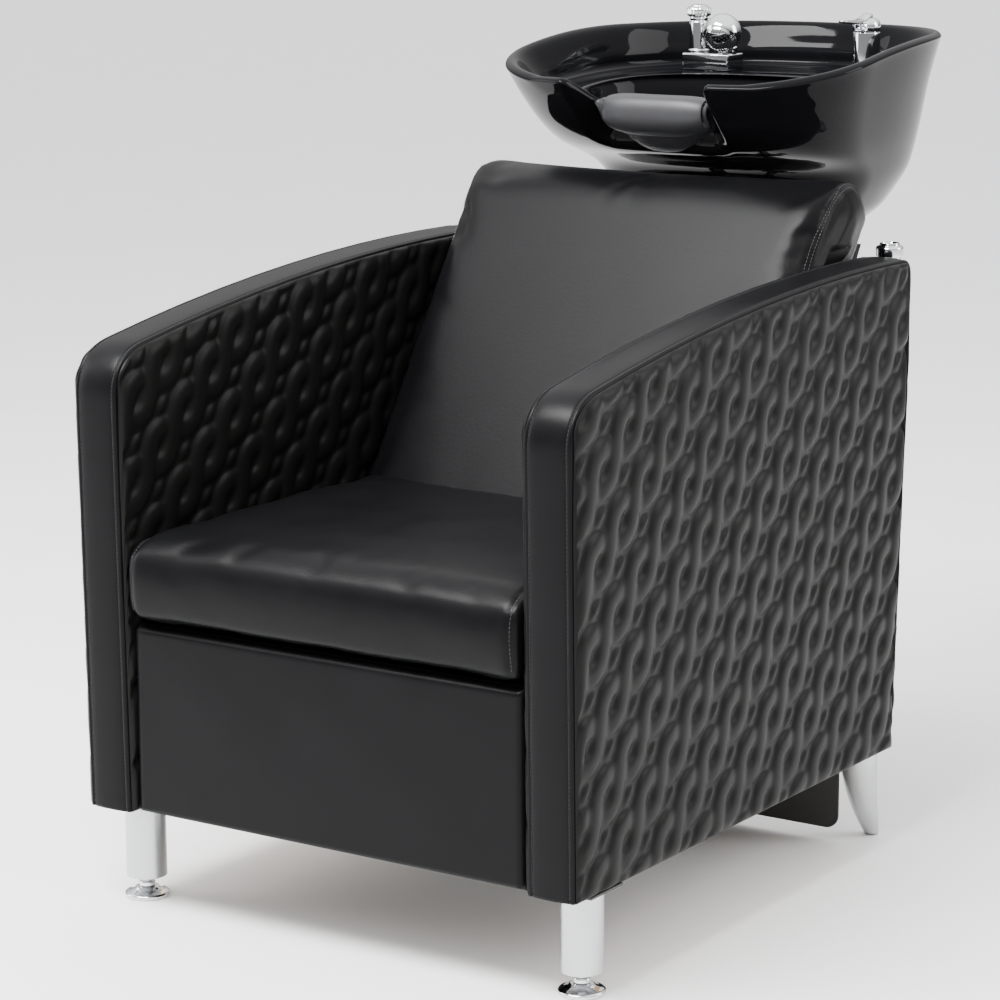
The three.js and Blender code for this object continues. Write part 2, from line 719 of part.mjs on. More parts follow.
const rimHalf = BASIN_HALF;
const foot = BASIN_BOTTOM;
const OUTSIDE = [
  circle(CRADLE_RADIUS - 2, BASIN_BOTTOM),
  oval(0.49 * rimHalf, basinFront + 197, basinBack - 98, foot + 11, foot + 11),
  oval(0.62 * rimHalf, basinFront + 177, basinBack - 60, foot + 33, foot + 33),
  oval(0.695 * rimHalf, basinFront + 163, basinBack - 41, foot + 65, foot + 56),
  oval(0.77 * rimHalf, basinFront + 149, basinBack - 28, foot + 106, foot + 84),
  oval(0.837 * rimHalf, basinFront + 87, basinBack - 21, foot + 119, foot + 114),
  oval(0.887 * rimHalf, basinFront + 47, basinBack - 18, foot + 143, foot + 144, 0.5 * NOTCH_DEPTH),
  oval(rimHalf - 13, basinFront + 19, basinBack - 16, foot + 172, foot + 190, 0.8 * NOTCH_DEPTH, 12),
  oval(rimHalf - 2, basinFront + 3, basinBack - 3, RIM_FRONT - 10, RIM_BACK - 13, NOTCH_DEPTH - 2, 30),
  oval(rimHalf, basinFront, basinBack, RIM_FRONT - 4, RIM_BACK - 5, NOTCH_DEPTH, NOTCH_DROP - 1),
];
const RIM = [
  oval(rimHalf - 5, basinFront + 5, basinBack - 5, RIM_FRONT, RIM_BACK, NOTCH_DEPTH, NOTCH_DROP),
  oval(rimHalf - 11, basinFront + 11, basinBack - 11, RIM_FRONT - 2, RIM_BACK - 2, NOTCH_DEPTH - 1, NOTCH_DROP),
];
const INSIDE = [
  oval(rimHalf - 16, basinFront + 18, basinBack - 16, RIM_FRONT - 9, RIM_BACK - 10, NOTCH_DEPTH - 3, 33),
  oval(rimHalf - 25, basinFront + 37, basinBack - 26, foot + 177, foot + 212, 52, 20),
  oval(rimHalf - 33, basinFront + 59, basinBack - 38, foot + 166, DECK_Z, 36, 12),
  oval(BOWL_HALF, basinFront + 87, fittingY - 32, foot + 158, DECK_Z, 14, 6),
  oval(BOWL_HALF - 6, basinFront + 93, fittingY - 37, foot + 150, DECK_Z - 6),
  oval(BOWL_HALF - 16, basinFront + 109, fittingY - 41, foot + 133, foot + 157),
  oval(BOWL_HALF - 28, basinFront + 165, fittingY - 42, foot + 123, foot + 117),
  oval(BOWL_HALF - 44, basinFront + 187, fittingY - 39, foot + 80, foot + 77),
  oval(BOWL_HALF - 74, basinFront + 203, fittingY - 26, foot + 51, foot + 51),
  circle(DRAIN_RECESS + 2, DRAIN_TOP + 5),
  circle(DRAIN_RECESS, DRAIN_TOP),
  circle(DRAIN_RADIUS, DRAIN_TOP),
];
const FRONT_POWER = 2.4;
const BACK_POWER = 2.7;

const notchAt = (x) => smooth((NOTCH_HALF - Math.abs(x)) / (NOTCH_HALF - NOTCH_FLAT));
// Heights change from the front's to the back's over the front two thirds of the basin.
const climb = (y) => {
  const t = Math.min(1, Math.max(0, (y - basinFront - CLIMB_START) / CLIMB_RUN));
  return 1 - (1 - t) ** 2;
};

// A ring's share of the rim's squarish outline: 1 at the rim, 0 for the circles at the drain.
const squareness = (r) => Math.min(1, Math.max(0, (r.half - 90) / 110));

function shiftRing(r, x, y0) {
  const k = y0 < r.front + (r.back - r.front) / 2 ? notchAt(x) : 0;
  return [y0 + (r.notch ?? 0) * k, r.low + (r.high - r.low) * climb(y0) - (r.drop ?? 0) * k];
}

function ringPoint(r, angle) {
  const q = squareness(r);
  const [c, s] = [Math.cos(angle), Math.sin(angle)];
  const power = 2 + q * ((s < 0 ? FRONT_POWER : BACK_POWER) - 2);
  const widest = r.front + (r.back - r.front) * (r.wide ?? 0.5 - 0.197 * q);
  const reach = s < 0 ? widest - r.front : r.back - widest;
  const x = r.half * Math.sign(c) * Math.abs(c) ** (2 / power);
  const [y, z] = shiftRing(r, x, widest + reach * Math.sign(s) * Math.abs(s) ** (2 / power));
  return new THREE.Vector3(x, y, z);
}

// Angles that space the rim's points evenly, the same on the left and the right.
function rimAngles(half) {
  const fine = 900;
  const at = (i) => -Math.PI / 2 + (i / fine) * Math.PI;
  const lengths = [0];
  for (let i = 1; i <= fine; i++) {
    const step = ringPoint(RIM[0], at(i)).distanceTo(ringPoint(RIM[0], at(i - 1)));
    lengths.push(lengths[i - 1] + step);
  }
  const right = [];
  for (let k = 0; k <= half; k++) {
    const want = (k / half) * lengths[fine];
    const i = Math.max(1, lengths.findIndex((l) => l >= want - 1e-9));
    const part = (want - lengths[i - 1]) / (lengths[i] - lengths[i - 1]);
    right.push(at(i - 1 + (k === 0 ? 0 : part)));
  }
  const left = right.slice(1, -1).reverse().map((a) => Math.PI - a);
  return [...right, ...left];
}
const ANGLES = rimAngles(40);

const basinRings = [circle(DRAIN_RADIUS, BASIN_BOTTOM), ...OUTSIDE, ...RIM, ...INSIDE];
const basinShell = loft(basinRings.map((r) => ANGLES.map((a) => ringPoint(r, a))), true);

// The hollow under the deck, open below, where the fittings' nuts and hoses are reached.
const hollow = deckHollow();
function deckHollow() {
  const outline = roundedRectangle(
    -HOLLOW_HALF,
    HOLLOW_HALF,
    fittingY - HOLLOW_FRONT,
    fittingY + HOLLOW_BACK,
    HOLLOW_CORNER,
  );
  const geometry = new THREE.ExtrudeGeometry(outline, { depth: HOLLOW_DEPTH, bevelEnabled: false });
  return geometry.translate(0, 0, DECK_Z - DECK - HOLLOW_DEPTH);
}
const shankHole = (x) => rod(x, fittingY, SHANK_RADIUS + SHANK_CLEARANCE, DECK_Z - 40, DECK_Z + 20);
// The casting is drawn as two pieces that meet on a level plane, so that each stays simple to collide with.
const casting = cut(basinShell, hollow, shankHole(BLOCK_X), shankHole(MIXER_X));
const slab = (z0, z1) => box(-2 * BASIN_HALF, 2 * BASIN_HALF, basinFront - DECK, basinBack + DECK, z0, z1);
const joint = BASIN_BOTTOM + BASIN_JOINT;
addPiece("basin", cut(casting, slab(BASIN_BOTTOM - DECK, joint + GAP)), CERAMIC);
addPiece("basin_base", cut(casting, slab(joint, RIM_BACK + DECK)), CERAMIC);

// ---------------------------------------------------------------- neck rest
// A soft saddle hooked over the notch. It lies on the basin's own skin, from just inside the lip, over it
// and down outside, and it is thickest in the middle.
const PAD_RINGS = [INSIDE[1], INSIDE[0], RIM[1], RIM[0], ...OUTSIDE.slice(5).reverse()];
const rimX = (angle) => ringPoint(RIM[0], angle).x;
const padAngles = ANGLES.filter((a) => Math.sin(a) < 0 && Math.abs(rimX(a)) <= PAD_HALF);
padAngles.sort((a, b) => rimX(b) - rimX(a));

function padSection(k) {
  const at = (j, angle) => ringPoint(PAD_RINGS[j], angle);
  const angle = padAngles[k];
  const last = PAD_RINGS.length - 1;
  const under = [];
  const over = [];
  const side = Math.abs(at(3, angle).x) / PAD_HALF;
  for (let j = 0; j <= last; j++) {
    const along = at(Math.min(last, j + 1), angle).sub(at(Math.max(0, j - 1), angle));
    const across = at(j, padAngles[Math.max(0, k - 1)]).sub(
      at(j, padAngles[Math.min(padAngles.length - 1, k + 1)]),
    );
    const out = along.cross(across).normalize();
    const swell = Math.sin((Math.PI * (j + 0.6)) / (last + 0.9)) ** 0.6 * (1 - 0.5 * side ** 4);
    const foot = j > last - 2 ? 1 - 0.6 * side : 1;
    under.push(at(j, angle).addScaledVector(out, PAD_CLEARANCE));
    over.push(at(j, angle).addScaledVector(out, PAD_CLEARANCE + 1 + PAD * swell * foot));
  }
  return [...under, ...over.reverse()];
}
const padSaddle = loft(padAngles.map((_, k) => padSection(k)), false);
addPiece("neck_rest", padSaddle, GEL);

// ---------------------------------------------------------------- waste
const wasteRadius = DRAIN_RADIUS - 1.5;
const wasteBore = wasteRadius - 3.5;
const strainerZ = DRAIN_TOP - 5;
const wasteEnd = BASIN_BOTTOM - 66;
addPiece(
  "waste_body",
  turned(
    [
      [wasteBore - 4, wasteEnd],
      [wasteRadius, wasteEnd],
      [wasteRadius, DRAIN_TOP + GAP],
      [DRAIN_RECESS - 2, DRAIN_TOP + GAP],
      [DRAIN_RECESS - 3, DRAIN_TOP + 3],
      [wasteBore, DRAIN_TOP + 2],
      [wasteBore, strainerZ - GAP],
      [wasteBore - 4, strainerZ - GAP],
      [wasteBore - 4, wasteEnd],
    ],
    0,
    drainY,
    24,
  ),
  CHROME,
);
addPiece(
  "waste_nut",
  ring(0, drainY, wasteRadius + 0.4, wasteRadius + 10, cradleBottom - 10, cradleBottom - GAP, 6 * 5),
  CHROME,
);
addPiece(
  "strainer",
  turned(
    [
      [0, strainerZ],
      [wasteBore - 0.6, strainerZ],
      [wasteBore - 0.6, strainerZ + 2],
      [5, strainerZ + 4],
      [4, strainerZ + 10],
      [7, strainerZ + 13],
      [6, strainerZ + 16],
      [0, strainerZ + 17],
    ],
    0,
    drainY,
  ),
  CHROME,
);

// ---------------------------------------------------------------- hand spray and vacuum breaker
const fittingFoot = DECK_Z + 0.4;
const blockTop = fittingFoot + BLOCK_HEIGHT;
const shank = (x) => rod(x, fittingY, SHANK_RADIUS, SHANK_BOTTOM, fittingFoot + 2);

function blockBody() {
  const outline = roundedRectangle(
    BLOCK_X - BLOCK_WIDTH / 2,
    BLOCK_X + BLOCK_WIDTH / 2,
    fittingY - BLOCK_DEPTH / 2,
    fittingY + BLOCK_DEPTH / 2,
    4,
  );
  const body = new THREE.ExtrudeGeometry(outline, {
    depth: BLOCK_HEIGHT - 3,
    bevelThickness: 1.5,
    bevelSize: 1.5,
    bevelOffset: -1.5,
    bevelSegments: 2,
    curveSegments: 4,
  });
  return body.translate(0, 0, fittingFoot + 1.5);
}
addPiece("spray_block", join(blockBody(), shank(BLOCK_X)), CHROME);

function nut(x) {
  const top = DECK_Z - DECK - GAP;
  const hexagon = rod(x, fittingY, NUT_RADIUS, top - NUT_HEIGHT, top, 6);
  return cut(hexagon, rod(x, fittingY, SHANK_RADIUS + 0.4, top - NUT_HEIGHT - 1, top + 1));
}
addPiece("spray_block_nut", nut(BLOCK_X), STEEL);

addPiece(
  "breaker_body",
  turned(
    [
      [0, blockTop + GAP],
      [BREAKER_RADIUS + 2, blockTop + GAP],
      [BREAKER_RADIUS + 2, blockTop + 3],
      [BREAKER_RADIUS, blockTop + 4],
      [BREAKER_RADIUS, BREAKER_TOP],
      [0, BREAKER_TOP],
    ],
    BREAKER_X,
    fittingY,
    24,
  ),
  CHROME,
);
addPiece(
  "breaker_cap",
  turned(
    [
      [0, BREAKER_TOP + GAP],
      [BREAKER_CAP_RADIUS - 2, BREAKER_TOP + GAP],
      [BREAKER_CAP_RADIUS, BREAKER_TOP + 2],
      [BREAKER_CAP_RADIUS, BREAKER_CAP_TOP - 5],
      [BREAKER_CAP_RADIUS - 2, BREAKER_CAP_TOP - 2],
      [BREAKER_CAP_RADIUS - 6, BREAKER_CAP_TOP],
      [0, BREAKER_CAP_TOP],
    ],
    BREAKER_X,
    fittingY,
    24,
  ),
  CHROME,
);

const SOCKET_HEIGHT = 9;
const SPRAY_NECK = 8.5;
const sprayBall = (radius) => {
  const ball = new THREE.SphereGeometry(radius, 24, 14);
  return ball.translate(SPRAY_X, fittingY - SPRAY_FORWARD, SPRAY_Z);
};
const socketWall = ring(
  SPRAY_X,
  fittingY,
  SPRAY_NECK + 0.7,
  SPRAY_NECK + 3.5,
  blockTop + GAP,
  blockTop + SOCKET_HEIGHT,
);
addPiece("spray_socket", cut(socketWall, sprayBall(SPRAY_RADIUS + 0.8)), CHROME);
const sprayNeck = rod(SPRAY_X, fittingY, SPRAY_NECK, blockTop + 2 * GAP, SPRAY_Z + 2);
addPiece("spray_head", join(sprayBall(SPRAY_RADIUS), sprayNeck), CHROME);

// ---------------------------------------------------------------- mixer
addPiece(
  "mixer_body",
  join(
    turned(
      [
        [0, fittingFoot],
        [MIXER_BASE_RADIUS, fittingFoot],
        [MIXER_BASE_RADIUS, fittingFoot + 4],
        [MIXER_RADIUS + 1, fittingFoot + 7],
        [MIXER_RADIUS, MIXER_TOP],
        [0, MIXER_TOP],
      ],
      MIXER_X,
      fittingY,
      24,
    ),
    shank(MIXER_X),
  ),
  CHROME,
);
addPiece("mixer_nut", nut(MIXER_X), STEEL);

const leverZ = MIXER_CAP_TOP - 9; // height of the lever's own pin
const leverHalf = 7;
const leverSlot = box(
  MIXER_X - leverHalf - 0.6,
  MIXER_X + leverHalf + 0.6,
  fittingY - MIXER_RADIUS - 5,
  fittingY + 9,
  MIXER_TOP + 3,
  MIXER_CAP_TOP + 5,
);
const pivot = (radius, half) => crossPin(fittingY, leverZ, radius, MIXER_X - half, MIXER_X + half, 20);
addPiece(
  "mixer_cap",
  cut(
    turned(
      [
        [0, MIXER_TOP + GAP],
        [MIXER_RADIUS + 0.5, MIXER_TOP + GAP],
        [MIXER_RADIUS + 0.5, MIXER_CAP_TOP - 6],
        [MIXER_RADIUS - 3, MIXER_CAP_TOP - 1],
        [0, MIXER_CAP_TOP],
      ],
      MIXER_X,
      fittingY,
      24,
    ),
    leverSlot,
  ),
  CHROME,
);
const leverOutline = new THREE.Shape();
leverOutline.moveTo(fittingY + 6, leverZ - 3);
leverOutline.quadraticCurveTo(fittingY + 8, leverZ + 14, fittingY - 6, leverZ + 15);
leverOutline.quadraticCurveTo(fittingY - 34, leverZ + 8, fittingY - LEVER_REACH, leverZ + 12);
leverOutline.lineTo(fittingY - LEVER_REACH, leverZ + 7);
leverOutline.quadraticCurveTo(fittingY - 34, leverZ + 1, fittingY - 5, leverZ - 4);
addPiece(
  "mixer_lever",
  join(
    sideways(leverOutline, MIXER_X - leverHalf, MIXER_X + leverHalf, 6),
    pivot(4, leverHalf),
  ),
  CHROME,
);
for (const { side, s } of SIDES) {
  const tail = rod(MIXER_X + s * 6.5, fittingY, 5, SHANK_BOTTOM - 40, SHANK_BOTTOM - GAP, 16);
  addPiece(s < 0 ? "inlet_tail_hot" : "inlet_tail_cold", tail, STEEL);
}

// ---------------------------------------------------------------- origin: middle of the footprint, on the floor
const extent = new THREE.Box3().setFromObject(chair, true);
chair.position.set(0, -(extent.min.y + extent.max.y) / 2, -extent.min.z);

export default root;
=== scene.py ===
# %% [markdown]
# # A salon backwash unit, dressed in Blender
#
# The unit is an upholstered armchair with a tilting ceramic basin behind its back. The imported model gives
# every piece its place and size. This file loads it as a fixed frame and makes the surfaces that a faceted
# solid can't show: quilting, stitched vinyl, glazed ceramic and polished metal.

import json
import math

import bmesh
import bpy
import numpy as np
from mathutils import Matrix, Vector
from mathutils.bvhtree import BVHTree


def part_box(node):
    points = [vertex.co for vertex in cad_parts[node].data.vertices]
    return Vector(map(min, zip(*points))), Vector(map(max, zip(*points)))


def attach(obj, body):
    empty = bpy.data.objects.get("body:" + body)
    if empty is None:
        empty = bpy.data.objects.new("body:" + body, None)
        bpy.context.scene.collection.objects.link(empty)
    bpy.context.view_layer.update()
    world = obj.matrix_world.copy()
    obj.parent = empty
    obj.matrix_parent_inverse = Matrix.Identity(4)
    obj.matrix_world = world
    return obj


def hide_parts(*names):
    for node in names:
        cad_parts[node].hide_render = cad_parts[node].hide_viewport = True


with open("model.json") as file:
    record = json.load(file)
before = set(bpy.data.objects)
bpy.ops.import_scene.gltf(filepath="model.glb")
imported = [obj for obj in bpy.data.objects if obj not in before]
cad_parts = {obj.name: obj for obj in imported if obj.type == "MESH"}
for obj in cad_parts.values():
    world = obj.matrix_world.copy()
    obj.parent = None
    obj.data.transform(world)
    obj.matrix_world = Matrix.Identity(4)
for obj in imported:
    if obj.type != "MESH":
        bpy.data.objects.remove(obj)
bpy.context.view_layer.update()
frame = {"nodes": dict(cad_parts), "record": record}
NODES = frame["nodes"]
SIDES = {"left": -1, "right": 1}
MM = 0.001
print("nodes in the frame:", len(NODES))

# %% [markdown]
# ## Shader maths as plain expressions
#
# A finish is a small network of nodes. Wiring it by hand hides the idea, so a socket is wrapped in a class
# that overloads the usual operators: `1 - mask` adds the Math node by itself. One method adds any other
# node. What is the same all over a surface is set on the shader's own socket instead.


# %% A socket that can be added and multiplied
class Value:
    def __init__(self, finish, socket):
        self.finish = finish
        self.socket = socket

    def math(self, operation, first, second=None):
        inputs = {0: first} if second is None else {0: first, 1: second}
        return self.finish.node("ShaderNodeMath", {"operation": operation}, inputs)

    def __add__(self, other):
        return self.math("ADD", self, other)

    def __radd__(self, other):
        return self.math("ADD", other, self)

    def __sub__(self, other):
        return self.math("SUBTRACT", self, other)

    def __rsub__(self, other):
        return self.math("SUBTRACT", other, self)

    def __mul__(self, other):
        return self.math("MULTIPLY", self, other)

    def __rmul__(self, other):
        return self.math("MULTIPLY", other, self)

    def __truediv__(self, other):
        return self.math("DIVIDE", self, other)

    def __pow__(self, other):
        return self.math("POWER", self, other)


# %% A finish: one material and its nodes
class Finish:
    def __init__(self, name, slot, **uniform):
        self.material = bpy.data.materials.new(name)
        self.material.use_nodes = True
        self.slot = slot
        self.tree = self.material.node_tree
        self.shader = self.tree.nodes["Principled BSDF"]
        for socket, value in uniform.items():
            self.shader.inputs[socket.replace("_", " ")].default_value = value

    def node(self, kind, settings=None, inputs=None, out=0):
        made = self.tree.nodes.new(kind)
        for key, value in (settings or {}).items():
            if key == "stops":
                for element, (place, level) in zip(made.color_ramp.elements, value):
                    element.position = place
                    element.color = (level, level, level, 1)
            else:
                setattr(made, key, value)
        for key, value in (inputs or {}).items():
            if isinstance(value, Value):
                self.tree.links.new(value.socket, made.inputs[key])
            else:
                made.inputs[key].default_value = value
        return Value(self, made.outputs[out])

    def place(self):
        """Where a point of the surface is, in metres."""
        return self.node("ShaderNodeTexCoord", out="Object")

    def stretched(self, x, y, z):
        scale = {"Vector": self.place(), "Scale": (x, y, z)}
        return self.node("ShaderNodeMapping", None, scale)

    def noise(self, scale, detail=3.0, where=None):
        inputs = {"Vector": where or self.place(), "Scale": scale, "Detail": detail}
        return self.node("ShaderNodeTexNoise", None, inputs)

    def cells(self, scale, feature="F1", where=None):
        inputs = {"Vector": where or self.place(), "Scale": scale}
        return self.node("ShaderNodeTexVoronoi", {"feature": feature}, inputs)

    def ramp(self, value, low, high):
        """0 up to `low`, 1 from `high`."""
        return self.node("ShaderNodeValToRGB", {"stops": [(low, 0), (high, 1)]}, {0: value})

    def between(self, factor, first, second):
        """A mix of two colours."""
        inputs = {"Factor": factor, 6: (*first, 1), 7: (*second, 1)}
        return self.node("ShaderNodeMix", {"data_type": "RGBA"}, inputs, out=2)

    def feed(self, socket, value):
        self.tree.links.new(value.socket, self.shader.inputs[socket])

    def colour(self, factor, dark, pale):
        self.feed("Base Color", self.between(factor, dark, pale))

    def rough(self, value):
        self.feed("Roughness", value)

    def bump(self, height, depth, strength=1.0):
        inputs = {"Height": height, "Distance": depth, "Strength": strength}
        self.feed("Normal", self.node("ShaderNodeBump", None, inputs))


print("shader helpers ready")

# %% [markdown]
# ## Vinyl upholstery
#
# The covers are black artificial leather: a fine pebble grain about a millimetre across, a satin surface,
# and a slightly paler bloom where hands and light catch it. The grain is a bump from Voronoi cells. Slow
# noise moves the roughness, so that highlights break up as they do on a stretched skin.


# %% Vinyl for the plain covers and for the quilting
def vinyl(name, slot, dark, pale, rough, mirror):
    look = Finish(name, slot, Specular_IOR_Level=mirror)
    clouds = look.noise(14.0, 4.0)
    grain = look.cells(820.0)
    creases = look.ramp(look.noise(240.0, 2.0), 0.35, 0.75)
    look.colour(clouds, dark, pale)
    look.rough(clouds * 0.12 + grain * 0.06 + (rough - 0.09))
    look.bump(grain * 0.7 + creases * 0.3, 0.00022, 0.55)
    return look


SMOOTH_TONES = (0.0022, 0.0022, 0.0025), (0.0042, 0.0042, 0.0048)
QUILTED_TONES = (0.0038, 0.0035, 0.0034), (0.0066, 0.0061, 0.0059)
VINYL = vinyl("satin_vinyl", "black_vinyl", *SMOOTH_TONES, 0.33, 0.075)
QUILTED = vinyl("quilted_vinyl", "quilted_vinyl", *QUILTED_TONES, 0.38, 0.09)
print("vinyl finishes:", VINYL.material.name, QUILTED.material.name)

# %% [markdown]
# ## Thread
#
# The topstitching is a bonded black thread. It is rounder and a little shinier than the vinyl, with a fast
# diagonal twist that a wave bump gives.

# %% Thread
THREAD = Finish("bonded_thread", "black_vinyl", Specular_IOR_Level=0.5)
twist = THREAD.node("ShaderNodeTexWave", None, {"Vector": THREAD.place(), "Scale": 420.0})
THREAD.colour(twist, (0.012, 0.012, 0.013), (0.030, 0.030, 0.032))
THREAD.rough(twist * 0.2 + 0.4)
THREAD.bump(twist, 0.0001)
print("thread finish ready")

# %% [markdown]
# ## Metals
#
# Three metals show. The front and rear legs are satin aluminium, turned and brushed, so their noise is
# stretched into fine lines. The fittings, posts and feet are polished chrome with the faint unevenness of
# plating. The stand's hidden beam and axle are zinc-plated steel, which has a soft mottle.

# %% Satin aluminium, chrome and plated steel
SATIN = Finish("satin_aluminium", "satin_metal", Metallic=1.0)
lines = SATIN.noise(1.0, 3.0, SATIN.stretched(90.0, 90.0, 2600.0))
smudges = SATIN.noise(30.0, 2.0)
SATIN.colour(lines, (0.44, 0.45, 0.46), (0.60, 0.61, 0.62))
SATIN.rough(lines * 0.10 + smudges * 0.08 + 0.22)
SATIN.bump(lines, 0.00005, 0.6)

CHROME = Finish("polished_chrome", "chrome", Metallic=1.0)
smudges = CHROME.noise(45.0, 4.0)
CHROME.colour(smudges, (0.62, 0.63, 0.65), (0.74, 0.75, 0.76))
CHROME.rough(smudges * 0.07 + 0.03)
CHROME.bump(CHROME.noise(160.0, 2.0), 0.00004, 0.35)

STEEL = Finish("zinc_plate", "plain_steel", Metallic=1.0)
spangle = STEEL.cells(190.0)
STEEL.colour(spangle, (0.34, 0.35, 0.37), (0.52, 0.53, 0.55))
STEEL.rough(spangle * 0.2 + 0.34)
STEEL.bump(spangle, 0.00006)

POWDER = Finish("black_powder_coat", "black_steel", Specular_IOR_Level=0.45)
orange_peel = POWDER.noise(700.0, 2.0)
POWDER.colour(POWDER.noise(20.0), (0.011, 0.011, 0.011), (0.020, 0.020, 0.020))
POWDER.rough(orange_peel * 0.15 + 0.42)
POWDER.bump(orange_peel, 0.00012, 0.7)
print("metal finishes ready")

# %% [markdown]
# ## Ceramic, gel, rubber and plywood
#
# The basin's glaze is black glass over clay: almost no diffuse colour, a sharp reflection, and a slow
# ripple in the surface that bends the reflected lights. The neck rest is matt gel. Its pebbled grip is
# modelled, so the bump only adds a fine skin. The hidden boards are birch plywood with long grain.

# %% The other finishes
CERAMIC = Finish("black_glaze", "black_ceramic", Specular_IOR_Level=0.07)
ripple = CERAMIC.noise(9.0, 2.0)
CERAMIC.colour(ripple, (0.0025, 0.0025, 0.003), (0.005, 0.005, 0.006))
CERAMIC.rough(CERAMIC.noise(60.0) * 0.03 + 0.025)
CERAMIC.bump(ripple, 0.0006, 0.35)

GEL = Finish("grey_gel", "gel", Specular_IOR_Level=0.4)
skin = GEL.noise(900.0, 2.0)
GEL.colour(GEL.noise(35.0), (0.016, 0.016, 0.018), (0.028, 0.028, 0.031))
GEL.rough(skin * 0.12 + 0.40)
GEL.bump(skin, 0.00012, 0.6)

RUBBER = Finish("seal_rubber", "seal_rubber", Specular_IOR_Level=0.35)
dust = RUBBER.noise(120.0)
RUBBER.colour(dust, (0.010, 0.010, 0.010), (0.022, 0.022, 0.021))
RUBBER.rough(dust * 0.2 + 0.66)
RUBBER.bump(RUBBER.noise(600.0), 0.0001)

PLYWOOD = Finish("birch_plywood", "timber")
fibres = PLYWOOD.noise(1.0, 5.0, PLYWOOD.stretched(14.0, 160.0, 160.0))
PLYWOOD.colour(fibres, (0.46, 0.31, 0.17), (0.68, 0.51, 0.32))
PLYWOOD.rough(fibres * 0.2 + 0.6)
PLYWOOD.bump(fibres, 0.0003)
print("finishes:", len(bpy.data.materials))

# %% [markdown]
# ## The frame's own solids
#
# Boards, brackets, plates and the axle are right as they are. They only need their finish, taken from the
# slot that the record gives each node. Whatever is replaced further on is hidden then.

# %% Give every node its finish
FINISH_OF = {
    "black_vinyl": VINYL,
    "quilted_vinyl": QUILTED,
    "timber": PLYWOOD,
    "satin_metal": SATIN,
    "chrome": CHROME,
    "black_steel": POWDER,
    "plain_steel": STEEL,
    "black_ceramic": CERAMIC,
    "gel": GEL,
    "seal_rubber": RUBBER,
}
for part in frame["record"]["subparts"]:
    node = NODES[part["node"]]
    node.data.materials.clear()
    node.data.materials.append(FINISH_OF[part["material_slot"]].material)

# %% [markdown]
# ## Small tools for meshes
#
# Most pieces are grids: rows of points joined into quads, closed round, closed along, or capped. A numpy
# array of points goes straight into a mesh, which keeps the code short and fast.


# %% Make a piece from points and faces
def linked(name, data):
    made = bpy.data.objects.new(name, data)
    bpy.context.scene.collection.objects.link(made)
    return made


def piece(name, points, faces, finish, body, *replaced):
    mesh = bpy.data.meshes.new(name)
    mesh.from_pydata([tuple(p) for p in points], [], faces)
    work = bmesh.new()
    work.from_mesh(mesh)
    bmesh.ops.remove_doubles(work, verts=work.verts, dist=1e-6)
    bmesh.ops.recalc_face_normals(work, faces=work.faces)
    work.to_mesh(mesh)
    work.free()
    mesh.shade_smooth()
    return dress(linked(name, mesh), finish, body, *replaced)


def dress(made, finish, body, *replaced):
    made.data.materials.clear()
    made.data.materials.append(finish.material)
    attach(made, body)
    if replaced:
        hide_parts(*replaced)
    return made


def middle(node):
    low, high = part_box(node)
    return (low + high) / 2


def upright(node):
    """Radius, foot and top of an upright round piece, in millimetres."""
    low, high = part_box(node)
    return (high.x - low.x) / 2 / MM, low.z / MM, high.z / MM


# %% Join rings of points into a skin
def skin_of(rings, closed=False, first=0):
    """Faces for rings of equal count: the last ring joins the first, or both ends get a cap."""
    rows, count = rings.shape[:2]
    grid = first + np.arange(rows * count).reshape(rows, count)
    if closed:
        grid = np.vstack([grid, grid[:1]])
    a, b = grid[:-1], grid[1:]
    quads = np.stack([a, np.roll(a, -1, 1), np.roll(b, -1, 1), b], axis=-1)
    faces = quads.reshape(-1, 4).tolist()
    if not closed:
        faces += [grid[0][::-1].tolist(), grid[-1].tolist()]
    return faces


def loft(name, rings, finish, body, *replaced, closed=False):
    rings = np.asarray(rings, float)
    return piece(name, rings.reshape(-1, 3), skin_of(rings, closed), finish, body, *replaced)


def backed(points, axis, place):
    """A grid of points with walls down to a flat back, which stands at `place` along `axis`."""
    rows, columns = points.shape[:2]
    grid = np.arange(rows * columns).reshape(rows, columns)
    quads = np.stack([grid[:-1, :-1], grid[:-1, 1:], grid[1:, 1:], grid[1:, :-1]], axis=-1)
    rim = np.concatenate([grid[0, :-1], grid[:-1, -1], grid[-1, :0:-1], grid[:0:-1, 0]])
    behind = points.reshape(-1, 3)[rim].copy()
    behind[:, axis] = place
    back = rows * columns + np.arange(len(rim))
    walls = np.stack([rim, np.roll(rim, -1), np.roll(back, -1), back], axis=-1)
    faces = quads.reshape(-1, 4).tolist() + walls.tolist() + [back.tolist()]
    return np.vstack([points.reshape(-1, 3), behind]), faces


def rolled(t):
    """A quarter round: steep at 0, level from 1."""
    t = np.clip(t, 0, 1)
    return np.sqrt(t * (2 - t))


def full_turn(count):
    return np.linspace(0, 2 * np.pi, count, endpoint=False)


def run_of(line):
    """How far along a line each of its points is."""
    return np.concatenate([[0], np.cumsum(np.linalg.norm(np.diff(line, axis=0), axis=1))])


# %% Turned pieces: a profile of (radius, height) spun round an upright axis
def rounded(points, radius, steps=4):
    """The same outline with each inner corner turned into a short curve."""
    points = [np.array(p, float) for p in points]
    line = [points[0]]
    for before, corner, after in zip(points, points[1:], points[2:]):
        cut = [min(radius, 0.45 * np.linalg.norm(end - corner)) for end in (before, after)]
        start = corner + cut[0] * (before - corner) / np.linalg.norm(before - corner)
        stop = corner + cut[1] * (after - corner) / np.linalg.norm(after - corner)
        for t in np.linspace(0, 1, steps + 1):
            line.append((1 - t) ** 2 * start + 2 * t * (1 - t) * corner + t**2 * stop)
    return np.array(line + [points[-1]])


